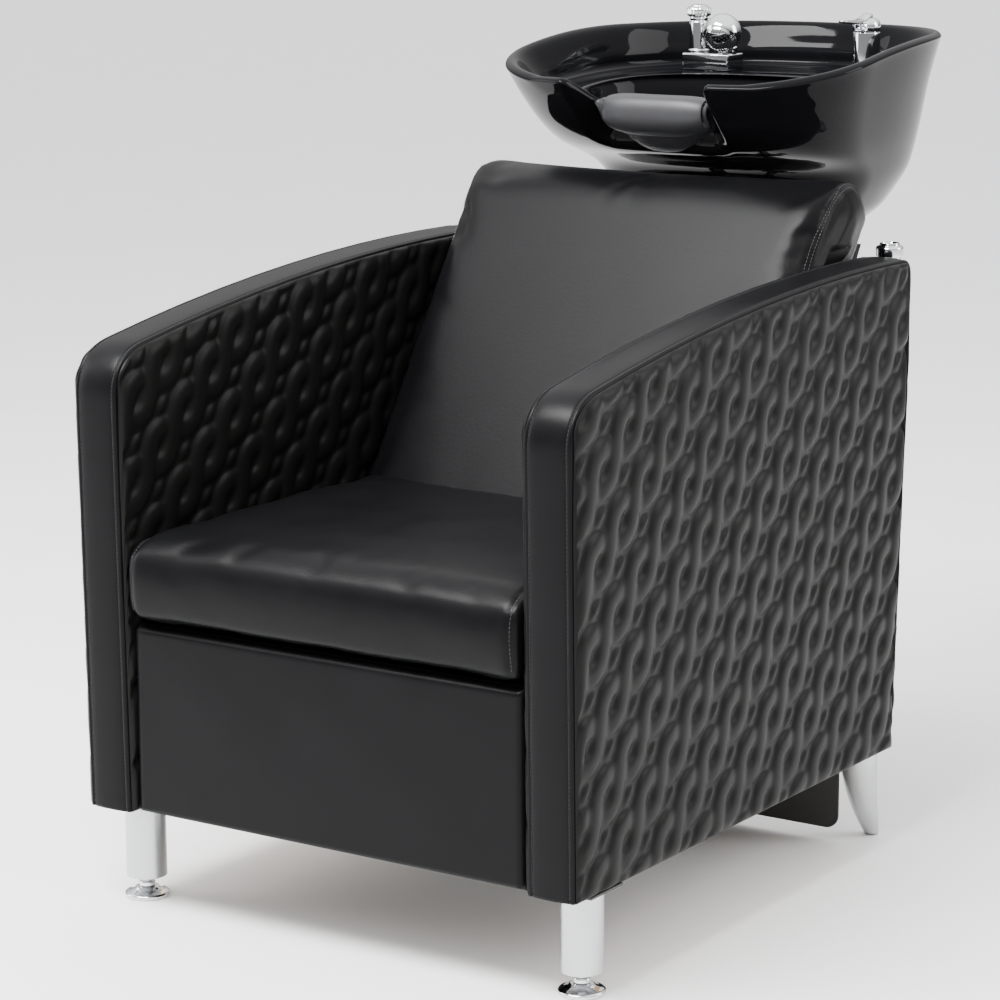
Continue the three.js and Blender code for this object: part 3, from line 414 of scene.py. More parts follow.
def spun(profile, x, y, sides=64, corner=0.8, flutes=0, flute_depth=0.0):
    """Rings round (x, y) from a profile in millimetres that starts and ends on or near the axis."""
    line = rounded(profile, corner) * MM
    angle = full_turn(sides)
    ripple = 1 - flute_depth * np.clip(np.cos(flutes * angle) - 0.4, 0, 1) if flutes else np.ones(sides)
    radius = np.maximum(line[:, 0], 1e-5)[:, None] * ripple
    height = np.repeat(line[:, 1:], sides, axis=1)
    return np.stack([x + radius * np.cos(angle), y + radius * np.sin(angle), height], axis=-1)


def turned(name, profile, finish, body, node, **shape):
    at = middle(node)
    return loft(name, spun(profile, at.x, at.y, **shape), finish, body, node)


print("mesh helpers ready")

# %% [markdown]
# ## The line of an arm
#
# An arm's side has a straight front, a tight turn at the top, a long bowed top edge and a straight back.
# The quilted panel's own vertices give that line. They are few, so the line is resampled every few
# millimetres and averaged along its length, which rounds its corners and leaves the straights alone.


# %% Read the line from the panel and ease it
def panel_line(node):
    points = np.array([v.co[1:] for v in NODES[node].data.vertices])
    points = np.unique(np.round(points, 5), axis=0)
    low = points[:, 1] < points[:, 1].min() + 1e-4
    feet = points[low]
    top = points[~low]
    return np.vstack([feet[:1], top[np.argsort(top[:, 0])], feet[-1:]])


def eased(points, step, reach):
    lengths = run_of(points)
    at = np.linspace(0, lengths[-1], int(lengths[-1] / step) + 1)
    line = np.column_stack([np.interp(at, lengths, points[:, k]) for k in range(points.shape[1])])
    spread = max(1, int(reach / step))
    before = 2 * line[0] - line[spread:0:-1]
    after = 2 * line[-1] - line[-2 : -spread - 2 : -1]
    weights = np.hanning(2 * spread + 3)[1:-1]
    padded = np.vstack([before, line, after])
    ease = [np.convolve(padded[:, k], weights / weights.sum(), "valid") for k in range(line.shape[1])]
    return np.column_stack(ease)


def outward(line):
    """Unit normals of a line in (y, z) that runs up the front, over the top and down the back."""
    along = np.gradient(line, axis=0)
    along /= np.linalg.norm(along, axis=1)[:, None]
    return np.column_stack([-along[:, 1], along[:, 0]])


ARM_LINE = eased(panel_line("arm_outer_panel_right"), 3 * MM, 14 * MM)
print("arm line:", len(ARM_LINE), "points")

# %% [markdown]
# ## Stitches
#
# A row of topstitching is many short dashes of thread lying in a groove. Each dash is a little spindle that
# follows the surface. They are real geometry, because their tiny shadows are what makes a seam read.


# %% Lay a row of stitches along a line
def stitches(name, line, facing, body, length=3.2, pitch=4.4, radius=0.42):
    """line: points in metres; facing: the direction out of the surface at each of them."""
    length, pitch, radius = length * MM, pitch * MM, radius * MM
    lengths = run_of(line)
    pick = lambda values, at: np.column_stack([np.interp(at, lengths, values[:, k]) for k in range(3)])
    starts = np.arange(pitch, lengths[-1] - pitch, pitch)
    angle = full_turn(6)
    points, faces = [], []
    for start in starts:
        along = np.array([0, 0.18, 0.82, 1]) * length + start
        girth = np.array([0.35, 1, 1, 0.35]) * radius
        centre, out = pick(line, along), pick(facing, along)
        forward = centre[-1] - centre[0]
        side = np.cross(out, forward / np.linalg.norm(forward))
        ring = side[:, None] * np.cos(angle)[None, :, None] + out[:, None] * np.sin(angle)[None, :, None]
        rings = centre[:, None] + ring * girth[:, None, None]
        faces += skin_of(rings, first=len(points))
        points += rings.reshape(-1, 3).tolist()
    return piece(name, points, faces, THREAD, body)


# %% [markdown]
# ## The arm bands
#
# A plain strip of padded vinyl runs round each arm, up the front, over the top and down the back. It is
# crowned in the middle. Near each edge it is topstitched, which pulls a groove and leaves a narrow welt,
# and then it dives into the seam with the quilted panel. One section swept along the arm's line gives it.

# %% Sweep the band's section along the arm's line
PANEL_INSET = 2.5 * MM
STITCH_IN = 5.6  # from the band's edge to its topstitching
STITCH_SINK = -0.55 * MM
BAND_SECTION = [  # in from the edge, out from the arm's line
    (0.0, -9.0),
    (0.0, -3.2),
    (0.5, -1.2),
    (1.8, 0.2),
    (3.3, 0.6),
    (4.7, 0.1),
    (STITCH_IN, -0.9),
    (6.6, 0.1),
    (8.5, 0.8),
    (13.0, 1.4),
    (20.0, 1.9),
]


def band_section(half):
    edge = rounded(BAND_SECTION, 1.2, 3)
    left = np.column_stack([edge[:, 0] - half, edge[:, 1]])
    right = np.column_stack([half - edge[::-1, 0], edge[::-1, 1]])
    return np.vstack([left, right])


band_line = ARM_LINE + outward(ARM_LINE) * PANEL_INSET
band_out = outward(band_line)
for side, sign in SIDES.items():
    low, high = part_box(f"arm_band_{side}")
    centre, half = (low.x + high.x) / 2, (high.x - low.x) / 2 / MM
    section = band_section(half)
    rings = np.empty((len(band_line), len(section), 3))
    rings[:, :, 0] = centre + section[:, 0] * MM
    rings[:, :, 1:] = band_line[:, None] + band_out[:, None] * (section[:, 1:] * MM)[None]
    loft(f"padded_band_{side}", rings, VINYL, "chair", f"arm_band_{side}")
    for edge, where in (("inner", -sign), ("outer", sign)):
        row = np.column_stack([np.full(len(band_line), centre + where * (half - STITCH_IN) * MM), band_line])
        row[:, 1:] += band_out * STITCH_SINK
        out = np.column_stack([np.zeros(len(band_line)), band_out])
        stitches(f"band_stitching_{edge}_{side}", row, out, "chair")
print("arm bands and their stitching made")

# %% [markdown]
# ## The quilting
#
# Each arm panel is quilted in a pattern of interlaced ropes. One rope is a long S, upright in the middle,
# with its top hooked over to the right and its bottom to the left. Each hook butts against the next rope,
# which leaves a round eye between two of them. The ropes stand in slanting rows, and a small leaf fills the
# gap between rows. The height of the padding at a point is the highest of the ropes and leaves near it.

# %% One rope and the lattice it repeats on
ROW_STEP = np.array([45.0, 35.0])  # to the next rope in a row, in millimetres
NEXT_ROW = np.array([36.0, -56.5])
ROPE_HALF = 13.0
CROWN = 0.36  # under a half is flatter than a circle
GROOVE = 0.25  # how high the stitched grooves still stand
LEAF = {"at": NEXT_ROW / 2, "long": 15.0, "short": 7.5, "tilt": math.radians(47), "height": 0.72}


def rope_line():
    """The upper half of a rope is one Bezier curve, and the lower half is the same turned round."""
    handles = np.array([(0, 0), (3.5, 21), (7, 37), (31, 38.5)], float)
    t = np.linspace(0, 1, 26)[:, None]
    upper = (
        (1 - t) ** 3 * handles[0]
        + 3 * t * (1 - t) ** 2 * handles[1]
        + 3 * t**2 * (1 - t) * handles[2]
        + t**3 * handles[3]
    )
    return np.vstack([-upper[:0:-1], upper])


ROPE = rope_line()
ROPE_FALL = 1 - 0.3 * np.clip((np.abs(np.linspace(-1, 1, len(ROPE))) - 0.72) / 0.28, 0, 1) ** 2


def padding(y, z):
    """Height of the quilting from 0 to 1 at points given in millimetres."""
    cell = np.linalg.inv(np.column_stack([ROW_STEP, NEXT_ROW]))
    near = np.round(np.column_stack([y, z]) @ cell.T)
    height = np.zeros(len(y))
    turn = np.array([math.cos(LEAF["tilt"]), math.sin(LEAF["tilt"])])
    for m in range(-2, 3):
        for n in range(-2, 3):
            home = (near[:, :1] + m) * ROW_STEP + (near[:, 1:] + n) * NEXT_ROW
            local = np.column_stack([y, z]) - home
            if np.abs(local).min(axis=0).max() > 60:
                continue
            gap = (local[:, :1] - ROPE[:, 0]) ** 2 + (local[:, 1:] - ROPE[:, 1]) ** 2
            closest = gap.argmin(axis=1)
            reach = gap[np.arange(len(y)), closest] / ROPE_HALF**2
            height = np.maximum(height, ROPE_FALL[closest] * np.clip(1 - reach, 0, 1) ** CROWN)
            leaf = local - LEAF["at"]
            long = leaf @ turn / LEAF["long"]
            short = (leaf[:, 1] * turn[0] - leaf[:, 0] * turn[1]) / LEAF["short"]
            bulge = np.sqrt(np.clip(1 - long**2 - short**2, 0, 1))
            height = np.maximum(height, LEAF["height"] * bulge)
    return np.maximum(height, GROOVE)


print("rope length:", round(float(run_of(ROPE)[-1]), 1), "mm")

# %% [markdown]
# Each panel is a grid that follows the arm's outline, so that its last row lies on the seam. The padding
# falls away over the last few millimetres, as foam does where it is sewn down. The cloth comes off one
# roll, so the pattern reads the same way round from whichever side it is seen.

# %% Quilt the four panels
QUILT_STEP = 2.4 * MM
QUILT_RELIEF = 5.6 * MM
QUILT_TAPER = 13 * MM
QUILT_ORIGIN = {"outer": (-405.6, 449.2), "inner": (-417.2, 560.0)}


def soften(grid):
    """A light blur, so that the creases are as wide as a folded skin."""
    for axis in (0, 1):
        before = np.concatenate([grid.take([0], axis), grid.take(range(grid.shape[axis] - 1), axis)], axis)
        after = np.concatenate([grid.take(range(1, grid.shape[axis]), axis), grid.take([-1], axis)], axis)
        grid = (before + 2 * grid + after) / 4
    return grid


def quilted_panel(side, sign, face):
    node = f"arm_{face}_panel_{side}"
    low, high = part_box(node)
    facing = sign if face == "outer" else -sign
    line = ARM_LINE
    bottom = line[0, 1]
    ridge = line[1:-1][line[1:-1, 1] > 0.5]
    columns = int((line[-1, 0] - line[0, 0]) / QUILT_STEP)
    rows = int((high.z - low.z) / QUILT_STEP)
    across = np.linspace(0, 1, columns)
    front = np.interp(across, [0, 1], [ridge[0, 0], ridge[:, 0].max()])
    order = np.argsort(ridge[:, 0])
    top = np.interp(front, ridge[order, 0], ridge[order, 1])
    lean_front = (ridge[0, 0] - line[0, 0]) / (ridge[0, 1] - bottom)
    back_y = ridge[:, 0].max()
    lean_back = (back_y - line[-1, 0]) / (high.z - bottom)
    up = np.linspace(0, 1, rows)[:, None]
    z = bottom + up * (top - bottom)
    start = line[0, 0] + lean_front * (z - bottom)
    start = np.minimum(start, start[:, :1])
    finish = line[-1, 0] + lean_back * (z - bottom)
    y = start + across * (finish - start)
    slope = np.gradient(top, front)
    edge = np.minimum((top - z) / np.sqrt(1 + slope**2), np.minimum(y - start, finish - y))
    edge = np.minimum(edge, z - bottom)
    taper = rolled(edge / QUILT_TAPER)
    origin = QUILT_ORIGIN[face]
    local_y = (y.ravel() / MM - origin[0]) * facing
    height = padding(local_y, z.ravel() / MM - origin[1]).reshape(y.shape)
    height = soften(height) * taper + 0.12 * taper
    base = low.x + 0.3 * MM if facing > 0 else high.x - 0.3 * MM
    x = base + facing * (0.2 * MM + QUILT_RELIEF * height)
    points = np.stack([x, y, z], axis=-1)
    return piece(f"quilted_{face}_{side}", *backed(points, 0, base), QUILTED, "chair", node)


for side, sign in SIDES.items():
    for face in ("outer", "inner"):
        made = quilted_panel(side, sign, face)
        print(made.name, len(made.data.vertices), "vertices")

# %% [markdown]
# ## The cushions
#
# The seat and the back are foam under a stretched cover. Cloth simulation gives what modelling by hand
# doesn't: faces that swell, corners that draw in, and a few soft tension folds. The plain solid is shrunk a
# little, remeshed into even quads, and blown up with pressure while gravity is off. How far any point may
# move is capped, so the cushion keeps its size.


# %% Blow up a plain solid into a cushion
PUFF_PRESSURE = 4
PUFF_FRAMES = 20
VOXEL = 6.5 * MM
PUFF_CAP = 9 * MM


def remeshed(name, node, shrink):
    mesh = NODES[node].data.copy()
    points = np.array([v.co for v in mesh.vertices])
    centre = (points.min(0) + points.max(0)) / 2
    points = centre + (points - centre) * shrink
    mesh.vertices.foreach_set("co", points.ravel().astype(np.float32))
    made = linked(name, mesh)
    even = made.modifiers.new("Even quads", "REMESH")
    even.mode = "VOXEL"
    even.voxel_size = VOXEL
    settle(made)
    return made


def settle(made):
    """Apply every modifier."""
    bpy.context.view_layer.update()
    shape = made.evaluated_get(bpy.context.evaluated_depsgraph_get())
    made.data = bpy.data.meshes.new_from_object(shape)
    made.modifiers.clear()


def points_of(mesh):
    points = np.empty(len(mesh.vertices) * 3, np.float32)
    mesh.vertices.foreach_get("co", points)
    return points.reshape(-1, 3).astype(float)


def set_points(mesh, points):
    mesh.vertices.foreach_set("co", points.astype(np.float32).ravel())
    mesh.update()


def puffed(made):
    before = points_of(made.data)
    cloth = made.modifiers.new("Puff", "CLOTH")
    cloth.settings.use_pressure = True
    cloth.settings.uniform_pressure_force = PUFF_PRESSURE
    cloth.settings.effector_weights.gravity = 0
    cloth.settings.quality = 4
    cloth.point_cache.frame_end = PUFF_FRAMES
    for number in range(1, PUFF_FRAMES + 1):
        bpy.context.scene.frame_set(number)
    shape = made.evaluated_get(bpy.context.evaluated_depsgraph_get())
    moved = points_of(shape.data) - before
    made.modifiers.clear()
    bpy.context.scene.frame_set(1)
    far = np.maximum(np.linalg.norm(moved, axis=1), 1e-9)
    set_points(made.data, before + moved * np.minimum(1, PUFF_CAP / far)[:, None])


def smoothed(made, rounds, factor=0.5):
    work = bmesh.new()
    work.from_mesh(made.data)
    for _ in range(rounds):
        bmesh.ops.smooth_vert(
            work, verts=work.verts, factor=factor, use_axis_x=True, use_axis_y=True, use_axis_z=True
        )
    work.to_mesh(made.data)
    work.free()


def cushion(name, node, shrink, fit):
    made = remeshed(name, node, shrink)
    smoothed(made, 3)
    puffed(made)
    smoothed(made, 2)
    finer = made.modifiers.new("Finer", "SUBSURF")
    finer.levels = 1
    settle(made)
    set_points(made.data, fit(points_of(made.data)))
    made.data.shade_smooth()
    return made


def filled(points, low, high, room):
    """Stretch points to fill a box; `room` is how far each may stand out sideways."""
    start, stop = points.min(0), points.max(0)
    points = np.array(low) + (points - start) / (stop - start) * (np.array(high) - np.array(low))
    points[:, 0] = np.clip(points[:, 0] * 1.02, -room, room)
    return points


def seam_pull(made, line, depth, width):
    """Draw the surface in along a seam."""
    points = points_of(made.data)
    normals = np.empty(len(points) * 3, np.float32)
    made.data.vertices.foreach_get("normal", normals)
    gap = np.full(len(points), 1.0)
    for place in line:
        gap = np.minimum(gap, np.linalg.norm(points - place, axis=1))
    pull = depth * np.clip(1 - (gap / width) ** 2, 0, 1) ** 2
    set_points(made.data, points - normals.reshape(-1, 3) * pull[:, None])


def laid_on(made, line, lift=0.0):
    """The nearest points of a surface to a line, and the directions out of it."""
    tree = BVHTree.FromObject(made, bpy.context.evaluated_depsgraph_get())
    found = [tree.find_nearest(Vector(p)) for p in line]
    places = np.array([hit[0] + hit[1] * lift for hit in found])
    return places, np.array([hit[1] for hit in found])


print("cushion helpers ready")

# %% [markdown]
# The seat stops against the arms, rests flat on its board and stands out in front of the arms, where it
# bulges sideways over their edges. Its side seams run up the front, over the nose and back to the
# backrest. Each is a drawn-in line with stitching beside it.

# %% The seat
seat_low, seat_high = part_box("seat_cushion")
arm_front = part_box("arm_band_right")[0].y


def seat_fit(points):
    room = np.where(points[:, 1] < arm_front + 4 * MM, seat_high.x + 4 * MM, seat_high.x)
    return filled(points, seat_low, seat_high, room)


bpy.context.view_layer.update()
seat = cushion("seat_pad", "seat_cushion", (0.985, 0.975, 0.90), seat_fit)
dress(seat, VINYL, "chair", "seat_cushion")
SEAM_IN, SEAM_DEPTH, SEAM_WIDTH = 6 * MM, 1.8 * MM, 7 * MM
nose = 30 * MM
seat_seam = np.array(
    [
        (seat_low.y + 5 * MM, seat_low.z + 10 * MM),
        (seat_low.y, (seat_low.z + seat_high.z) / 2),
        (seat_low.y + 1 * MM, seat_high.z - nose),
        (seat_low.y + 6 * MM, seat_high.z - 10 * MM),
        (seat_low.y + nose, seat_high.z - 2 * MM),
        (-0.13, seat_high.z),
    ]
)
for side, sign in SIDES.items():
    line = eased(seat_seam, 3 * MM, 12 * MM)
    line = np.column_stack([np.full(len(line), sign * (seat_high.x - SEAM_IN)), line])
    places, out = laid_on(seat, line)
    seam_pull(seat, places, SEAM_DEPTH, SEAM_WIDTH)
    places, out = laid_on(seat, places, 0.1 * MM)
    stitches(f"seat_stitching_{side}", places, out, "chair")
print("seat:", len(seat.data.vertices), "vertices")

# %% [markdown]
# The backrest leans back and turns over at the top in a soft roll. A narrow gusset closes each side, joined
# to the front by a seam with two rows of stitching.

# %% The backrest
back_low, back_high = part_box("backrest_cushion")
arm_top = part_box("arm_band_right")[1].z


def back_fit(points):
    room = np.where(points[:, 2] > arm_top + 6 * MM, back_high.x + 3 * MM, back_high.x)
    return filled(points, back_low, back_high, room)


backrest = cushion("back_pad", "backrest_cushion", (0.985, 0.975, 0.975), back_fit)
dress(backrest, VINYL, "chair", "backrest_cushion")
RECLINE = 0.636  # how far back the front face goes for each metre up
front_y = lambda z: back_low.y + (z - back_low.z) * RECLINE
shoulder = back_high.z - 64 * MM
back_seam = np.array(
    [
        (front_y(0.43), 0.43),
        (front_y(shoulder), shoulder),
        (front_y(shoulder + 0.03) + 4 * MM, shoulder + 0.026),
        (front_y(shoulder + 0.03) + 32 * MM, back_high.z - 10 * MM),
        (front_y(shoulder + 0.03) + 62 * MM, back_high.z),
        (back_high.y - 40 * MM, back_high.z - 3 * MM),
        (back_high.y - 12 * MM, back_high.z - 28 * MM),
    ]
)
for side, sign in SIDES.items():
    line = eased(back_seam, 3 * MM, 18 * MM)
    line = np.column_stack([np.full(len(line), sign * (back_high.x - SEAM_IN)), line])
    places, out = laid_on(backrest, line)
    seam_pull(backrest, places, SEAM_DEPTH, SEAM_WIDTH)
    for row, shift in enumerate((-4.0, 4.0)):
        beside, out = laid_on(backrest, places + np.array([shift * MM * sign, 0, 0]), 0.1 * MM)
        stitches(f"back_stitching_{row + 1}_{side}", beside, out, "chair")
print("backrest:", len(backrest.data.vertices), "vertices")

# %% [markdown]
# The two boards are plywood, but their edges show in the gaps, so an upholsterer wraps them in the same
# black vinyl. Each cover is the board's own shape.

# %% Wrap the boards
for name in ("seat_board", "backrest_board"):
    dress(linked(f"{name}_cover", NODES[name].data.copy()), VINYL, "chair", name)
print("boards wrapped")

# %% [markdown]
# ## The front panel
#
# Below the seat, a thinly padded panel fills the space between the arms. It is a grid with a slow crown, a
# rolled edge, and the faint vertical ease of vinyl stretched over a frame.

# %% The front panel
low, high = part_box("front_panel")
columns, rows = 120, 56
across, up = np.meshgrid(np.linspace(-1, 1, columns), np.linspace(-1, 1, rows))
edge = np.minimum((1 - np.abs(across)) * (high.x - low.x) / 2, (1 - np.abs(up)) * (high.z - low.z) / 2)
roll = rolled(edge / (6 * MM))
crown = (1 - across**2) * (1 - up**2)
ease = 0.35 * np.sin(9.0 * across + 1.3 * up) * np.sin(3.1 * up + 0.8) * (1 - up**2)
proud = high.y - 2 * MM - (high.y - low.y - 3.5 * MM) * roll - (2.5 * crown + ease) * MM
points = np.stack([across * high.x, proud, low.z + (up + 1) / 2 * (high.z - low.z)], axis=-1)
panel = piece("front_pad", *backed(points, 1, high.y), VINYL, "chair", "front_panel")
print("front panel made")

# %% [markdown]
# ## The legs
#
# The front legs are satin tubes on chrome levelling feet. The rear legs are cast horns that taper and sweep
# back to a small toe. A row of circles, each smaller and further back than the one above, makes a horn.

# %% Front legs, feet and rear legs
for side, sign in SIDES.items():
    r, z0, z1 = upright(f"front_leg_{side}")
    tube = [(0, z0 + 1.5), (r - 2.5, z0 + 1.5), (r - 2.5, z0), (r, z0), (r, z0 + 3), (r, z1), (0, z1)]
    turned(f"leg_tube_{side}", tube, SATIN, "chair", f"front_leg_{side}", sides=72, corner=0.7)

    r, z0, z1 = upright(f"foot_stem_{side}")
    stem = [(0, z0), (r - 0.6, z0), (r, z0 + 1.2), (r, z0 + 4.5), (r - 0.8, z0 + 5.8), (r - 3, z0 + 6.4)]
    thread = [(r - 3 - 0.35 * (k % 2), z0 + 7 + 0.9 * k) for k in range(26)]
    stem += thread + [(r - 3, z1), (0, z1)]
    turned(f"foot_screw_{side}", stem, CHROME, f"foot_{side}", f"foot_stem_{side}", sides=36, corner=0.25)

    r, z0, z1 = upright(f"foot_disc_{side}")
    disc = [(0, 0), (r - 1, 0), (r, 1.2), (r, 4.2), (r - 2, 5.6)]
    disc += [(0.76 * r, 6.6), (0.6 * r, 8.6), (0.5 * r, z1), (0, z1)]
    turned(f"foot_plate_{side}", disc, CHROME, f"foot_{side}", f"foot_disc_{side}", sides=72, corner=1.0)

    low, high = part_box(f"rear_leg_{side}")
    top_radius, toe_radius, sweep = 21.5 * MM, 8.5 * MM, 38 * MM
    t = np.linspace(1, 0, 46)[:, None]  # 1 at the toe, 0 at the top
    radius = top_radius - (top_radius - toe_radius) * t**1.7
    radius[0] *= 0.55
    radius[1] *= 0.93
    angle = full_turn(48)
    centre = Vector(((low.x + high.x) / 2, low.y + 19 * MM, 0))
    x = centre.x + radius * np.cos(angle)
    y = centre.y + sweep * t**1.9 + radius * np.sin(angle)
    z = np.broadcast_to((1 - t) * high.z, x.shape).copy()
    z[0] = 0
    z[1] = 1.2 * MM
    loft(f"rear_horn_{side}", np.stack([x, y, z], axis=-1), SATIN, "chair", f"rear_leg_{side}")
print("legs made")

# %% [markdown]
# ## The posts of the basin stand
#
# Two chrome tubes behind the arms carry the beam that the basin tips on. Each ends in a pressed cap with a
# step and a shallow dish in its top.

# %% Posts and caps
for side, sign in SIDES.items():
    r, z0, z1 = upright(f"post_{side}")
    turned(f"stand_tube_{side}", [(0, z0), (r, z0), (r, z1), (0, z1)], CHROME, "chair", f"post_{side}")
    r, z0, z1 = upright(f"post_cap_{side}")
    cap = [(0, z0), (r, z0), (r, z0 + 10), (r - 1.5, z0 + 12), (0.74 * r, z0 + 12.6)]
    cap += [(0.72 * r, z1), (0.62 * r, z1), (0.58 * r, z1 - 2.4), (0, z1 - 3.2)]
    turned(f"stand_cap_{side}", cap, CHROME, "chair", f"post_cap_{side}", corner=1.0)
print("posts made")

# %% [markdown]
# ## The basin
#
# The basin is one skin of glazed clay: up the outside from its foot, over the rolled rim and down inside to
# the drain. It is built as a stack of rings. Each ring is a squared circle with its own width, front, back
# and heights, and the neck notch pushes the front of a ring back and down. A smooth curve through the
# stack gives the rings between, so the glaze has no facets to catch the light.

# %% The stack of rings, in millimetres
basin_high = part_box("basin")[1]
FOOT_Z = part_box("basin_base")[0].z / MM
HALF = basin_high.x / MM
BACK = basin_high.y / MM
FRONT = BACK - 501.0  # the notch cuts into this, so it can't be read from the box
RIM_FRONT, RIM_BACK = FOOT_Z + 204, FOOT_Z + 247
DECK_Z = FOOT_Z + 192
drain_low, drain_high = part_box("waste_body")
DRAIN_Y = (drain_low.y + drain_high.y) / 2 / MM
DRAIN_TOP = FOOT_Z + 38
FITTING_Y = middle("spray_block").y / MM
NOTCH_HALF, NOTCH_FLAT, NOTCH_DEPTH, NOTCH_DROP = 98.0, 66.0, 67.0, 36.0


def circle(radius, z):
    return (radius, DRAIN_Y - radius, DRAIN_Y + radius, z, z, 0, 0)


OUTSIDE = [
    circle(76, FOOT_Z),
    (0.49 * HALF, FRONT + 197, BACK - 98, FOOT_Z + 11, FOOT_Z + 11, 0, 0),
    (0.62 * HALF, FRONT + 177, BACK - 60, FOOT_Z + 33, FOOT_Z + 33, 0, 0),
    (0.695 * HALF, FRONT + 163, BACK - 41, FOOT_Z + 65, FOOT_Z + 56, 0, 0),
    (0.77 * HALF, FRONT + 149, BACK - 28, FOOT_Z + 106, FOOT_Z + 84, 0, 0),
    (0.837 * HALF, FRONT + 87, BACK - 21, FOOT_Z + 119, FOOT_Z + 114, 0, 0),
    (0.887 * HALF, FRONT + 47, BACK - 18, FOOT_Z + 143, FOOT_Z + 144, 0.5 * NOTCH_DEPTH, 0),
    (HALF - 13, FRONT + 19, BACK - 16, FOOT_Z + 172, FOOT_Z + 190, 0.8 * NOTCH_DEPTH, 12),
    (HALF - 2, FRONT + 3, BACK - 3, RIM_FRONT - 10, RIM_BACK - 13, NOTCH_DEPTH - 2, 30),
    (HALF, FRONT, BACK, RIM_FRONT - 4, RIM_BACK - 5, NOTCH_DEPTH, NOTCH_DROP - 1),
]
RIM = [
    (HALF - 5, FRONT + 5, BACK - 5, RIM_FRONT, RIM_BACK, NOTCH_DEPTH, NOTCH_DROP),
    (HALF - 11, FRONT + 11, BACK - 11, RIM_FRONT - 2, RIM_BACK - 2, NOTCH_DEPTH - 1, NOTCH_DROP),
]
INSIDE = [
    (HALF - 16, FRONT + 18, BACK - 16, RIM_FRONT - 9, RIM_BACK - 10, NOTCH_DEPTH - 3, 33),
    (HALF - 25, FRONT + 37, BACK - 26, FOOT_Z + 177, FOOT_Z + 212, 52, 20),
    (HALF - 33, FRONT + 59, BACK - 38, FOOT_Z + 166, DECK_Z, 36, 12),
    (166, FRONT + 87, FITTING_Y - 32, FOOT_Z + 158, DECK_Z, 14, 6),
    (160, FRONT + 93, FITTING_Y - 37, FOOT_Z + 150, DECK_Z - 6, 0, 0),
    (150, FRONT + 109, FITTING_Y - 41, FOOT_Z + 133, FOOT_Z + 157, 0, 0),
    (138, FRONT + 165, FITTING_Y - 42, FOOT_Z + 123, FOOT_Z + 117, 0, 0),
    (122, FRONT + 187, FITTING_Y - 39, FOOT_Z + 80, FOOT_Z + 77, 0, 0),
    (92, FRONT + 203, FITTING_Y - 26, FOOT_Z + 51, FOOT_Z + 51, 0, 0),
    circle(37, DRAIN_TOP + 5),
    circle(35, DRAIN_TOP),
    circle(24, DRAIN_TOP),
]


# %% Points on the rings
def smooth_step(t):
    t = np.clip(t, 0, 1)
    return t * t * (3 - 2 * t)


def ring_points(ring, angle):
    """Points of one ring at the given angles, in millimetres."""
    half, front, back, low, high, notch, drop = ring
    square = np.clip((half - 90) / 110, 0, 1)
    c, s = np.cos(angle), np.sin(angle)
    power = 2 + square * (np.where(s < 0, 2.4, 2.7) - 2)
    widest = front + (back - front) * (0.5 - 0.197 * square)
    reach = np.where(s < 0, widest - front, back - widest)
    x = half * np.sign(c) * np.abs(c) ** (2 / power)
    y = widest + reach * np.sign(s) * np.abs(s) ** (2 / power)
    climb = 1 - (1 - np.clip((y - FRONT - 25) / 312, 0, 1)) ** 2
    near = smooth_step((NOTCH_HALF - np.abs(x)) / (NOTCH_HALF - NOTCH_FLAT))
    dent = np.where(y < (front + back) / 2, near, 0)
    return np.stack([x, y + notch * dent, low + (high - low) * climb - drop * dent], axis=-1)


def between_rings(rings, steps):
    """Rings on a smooth curve through the given ones, `steps` to each gap."""
    rings = np.array(rings, float)
    padded = np.vstack([2 * rings[0] - rings[1], rings, 2 * rings[-1] - rings[-2]])
    made = []
    for p, q, r, s in zip(padded, padded[1:], padded[2:], padded[3:]):
        for t in np.arange(steps) / steps:
            curve = 2 * q + (r - p) * t + (2 * p - 5 * q + 4 * r - s) * t**2 + (3 * q - p - 3 * r + s) * t**3
            made.append(curve / 2)
    return np.array(made + [rings[-1]])


def even_angles(count):
    """Angles that space the rim's points evenly."""
    fine = np.linspace(-np.pi / 2, 1.5 * np.pi, 6001)
    rim = ring_points(RIM[0], fine)
    lengths = run_of(rim)
    return np.interp(np.linspace(0, lengths[-1], count, endpoint=False), lengths, fine)


# %% The glazed skin, and the hollow under its deck
angles = even_angles(288)
stack = between_rings(OUTSIDE + RIM + INSIDE, 5)
rings = np.array([ring_points(circle(24, FOOT_Z), angles)] + [ring_points(r, angles) for r in stack])
basin = loft("glazed_basin", rings * MM, CERAMIC, "basin_unit", "basin", "basin_base", closed=True)


def cutter(points, faces):
    mesh = bpy.data.meshes.new("cutter")
    mesh.from_pydata([tuple(p) for p in points], [], faces)
    return linked("cutter", mesh)


def carve(target, tool):
    cut = target.modifiers.new("Carve", "BOOLEAN")
    cut.operation = "DIFFERENCE"
    cut.object = tool
    cut.solver = "EXACT"
    settle(target)
    bpy.data.objects.remove(tool)


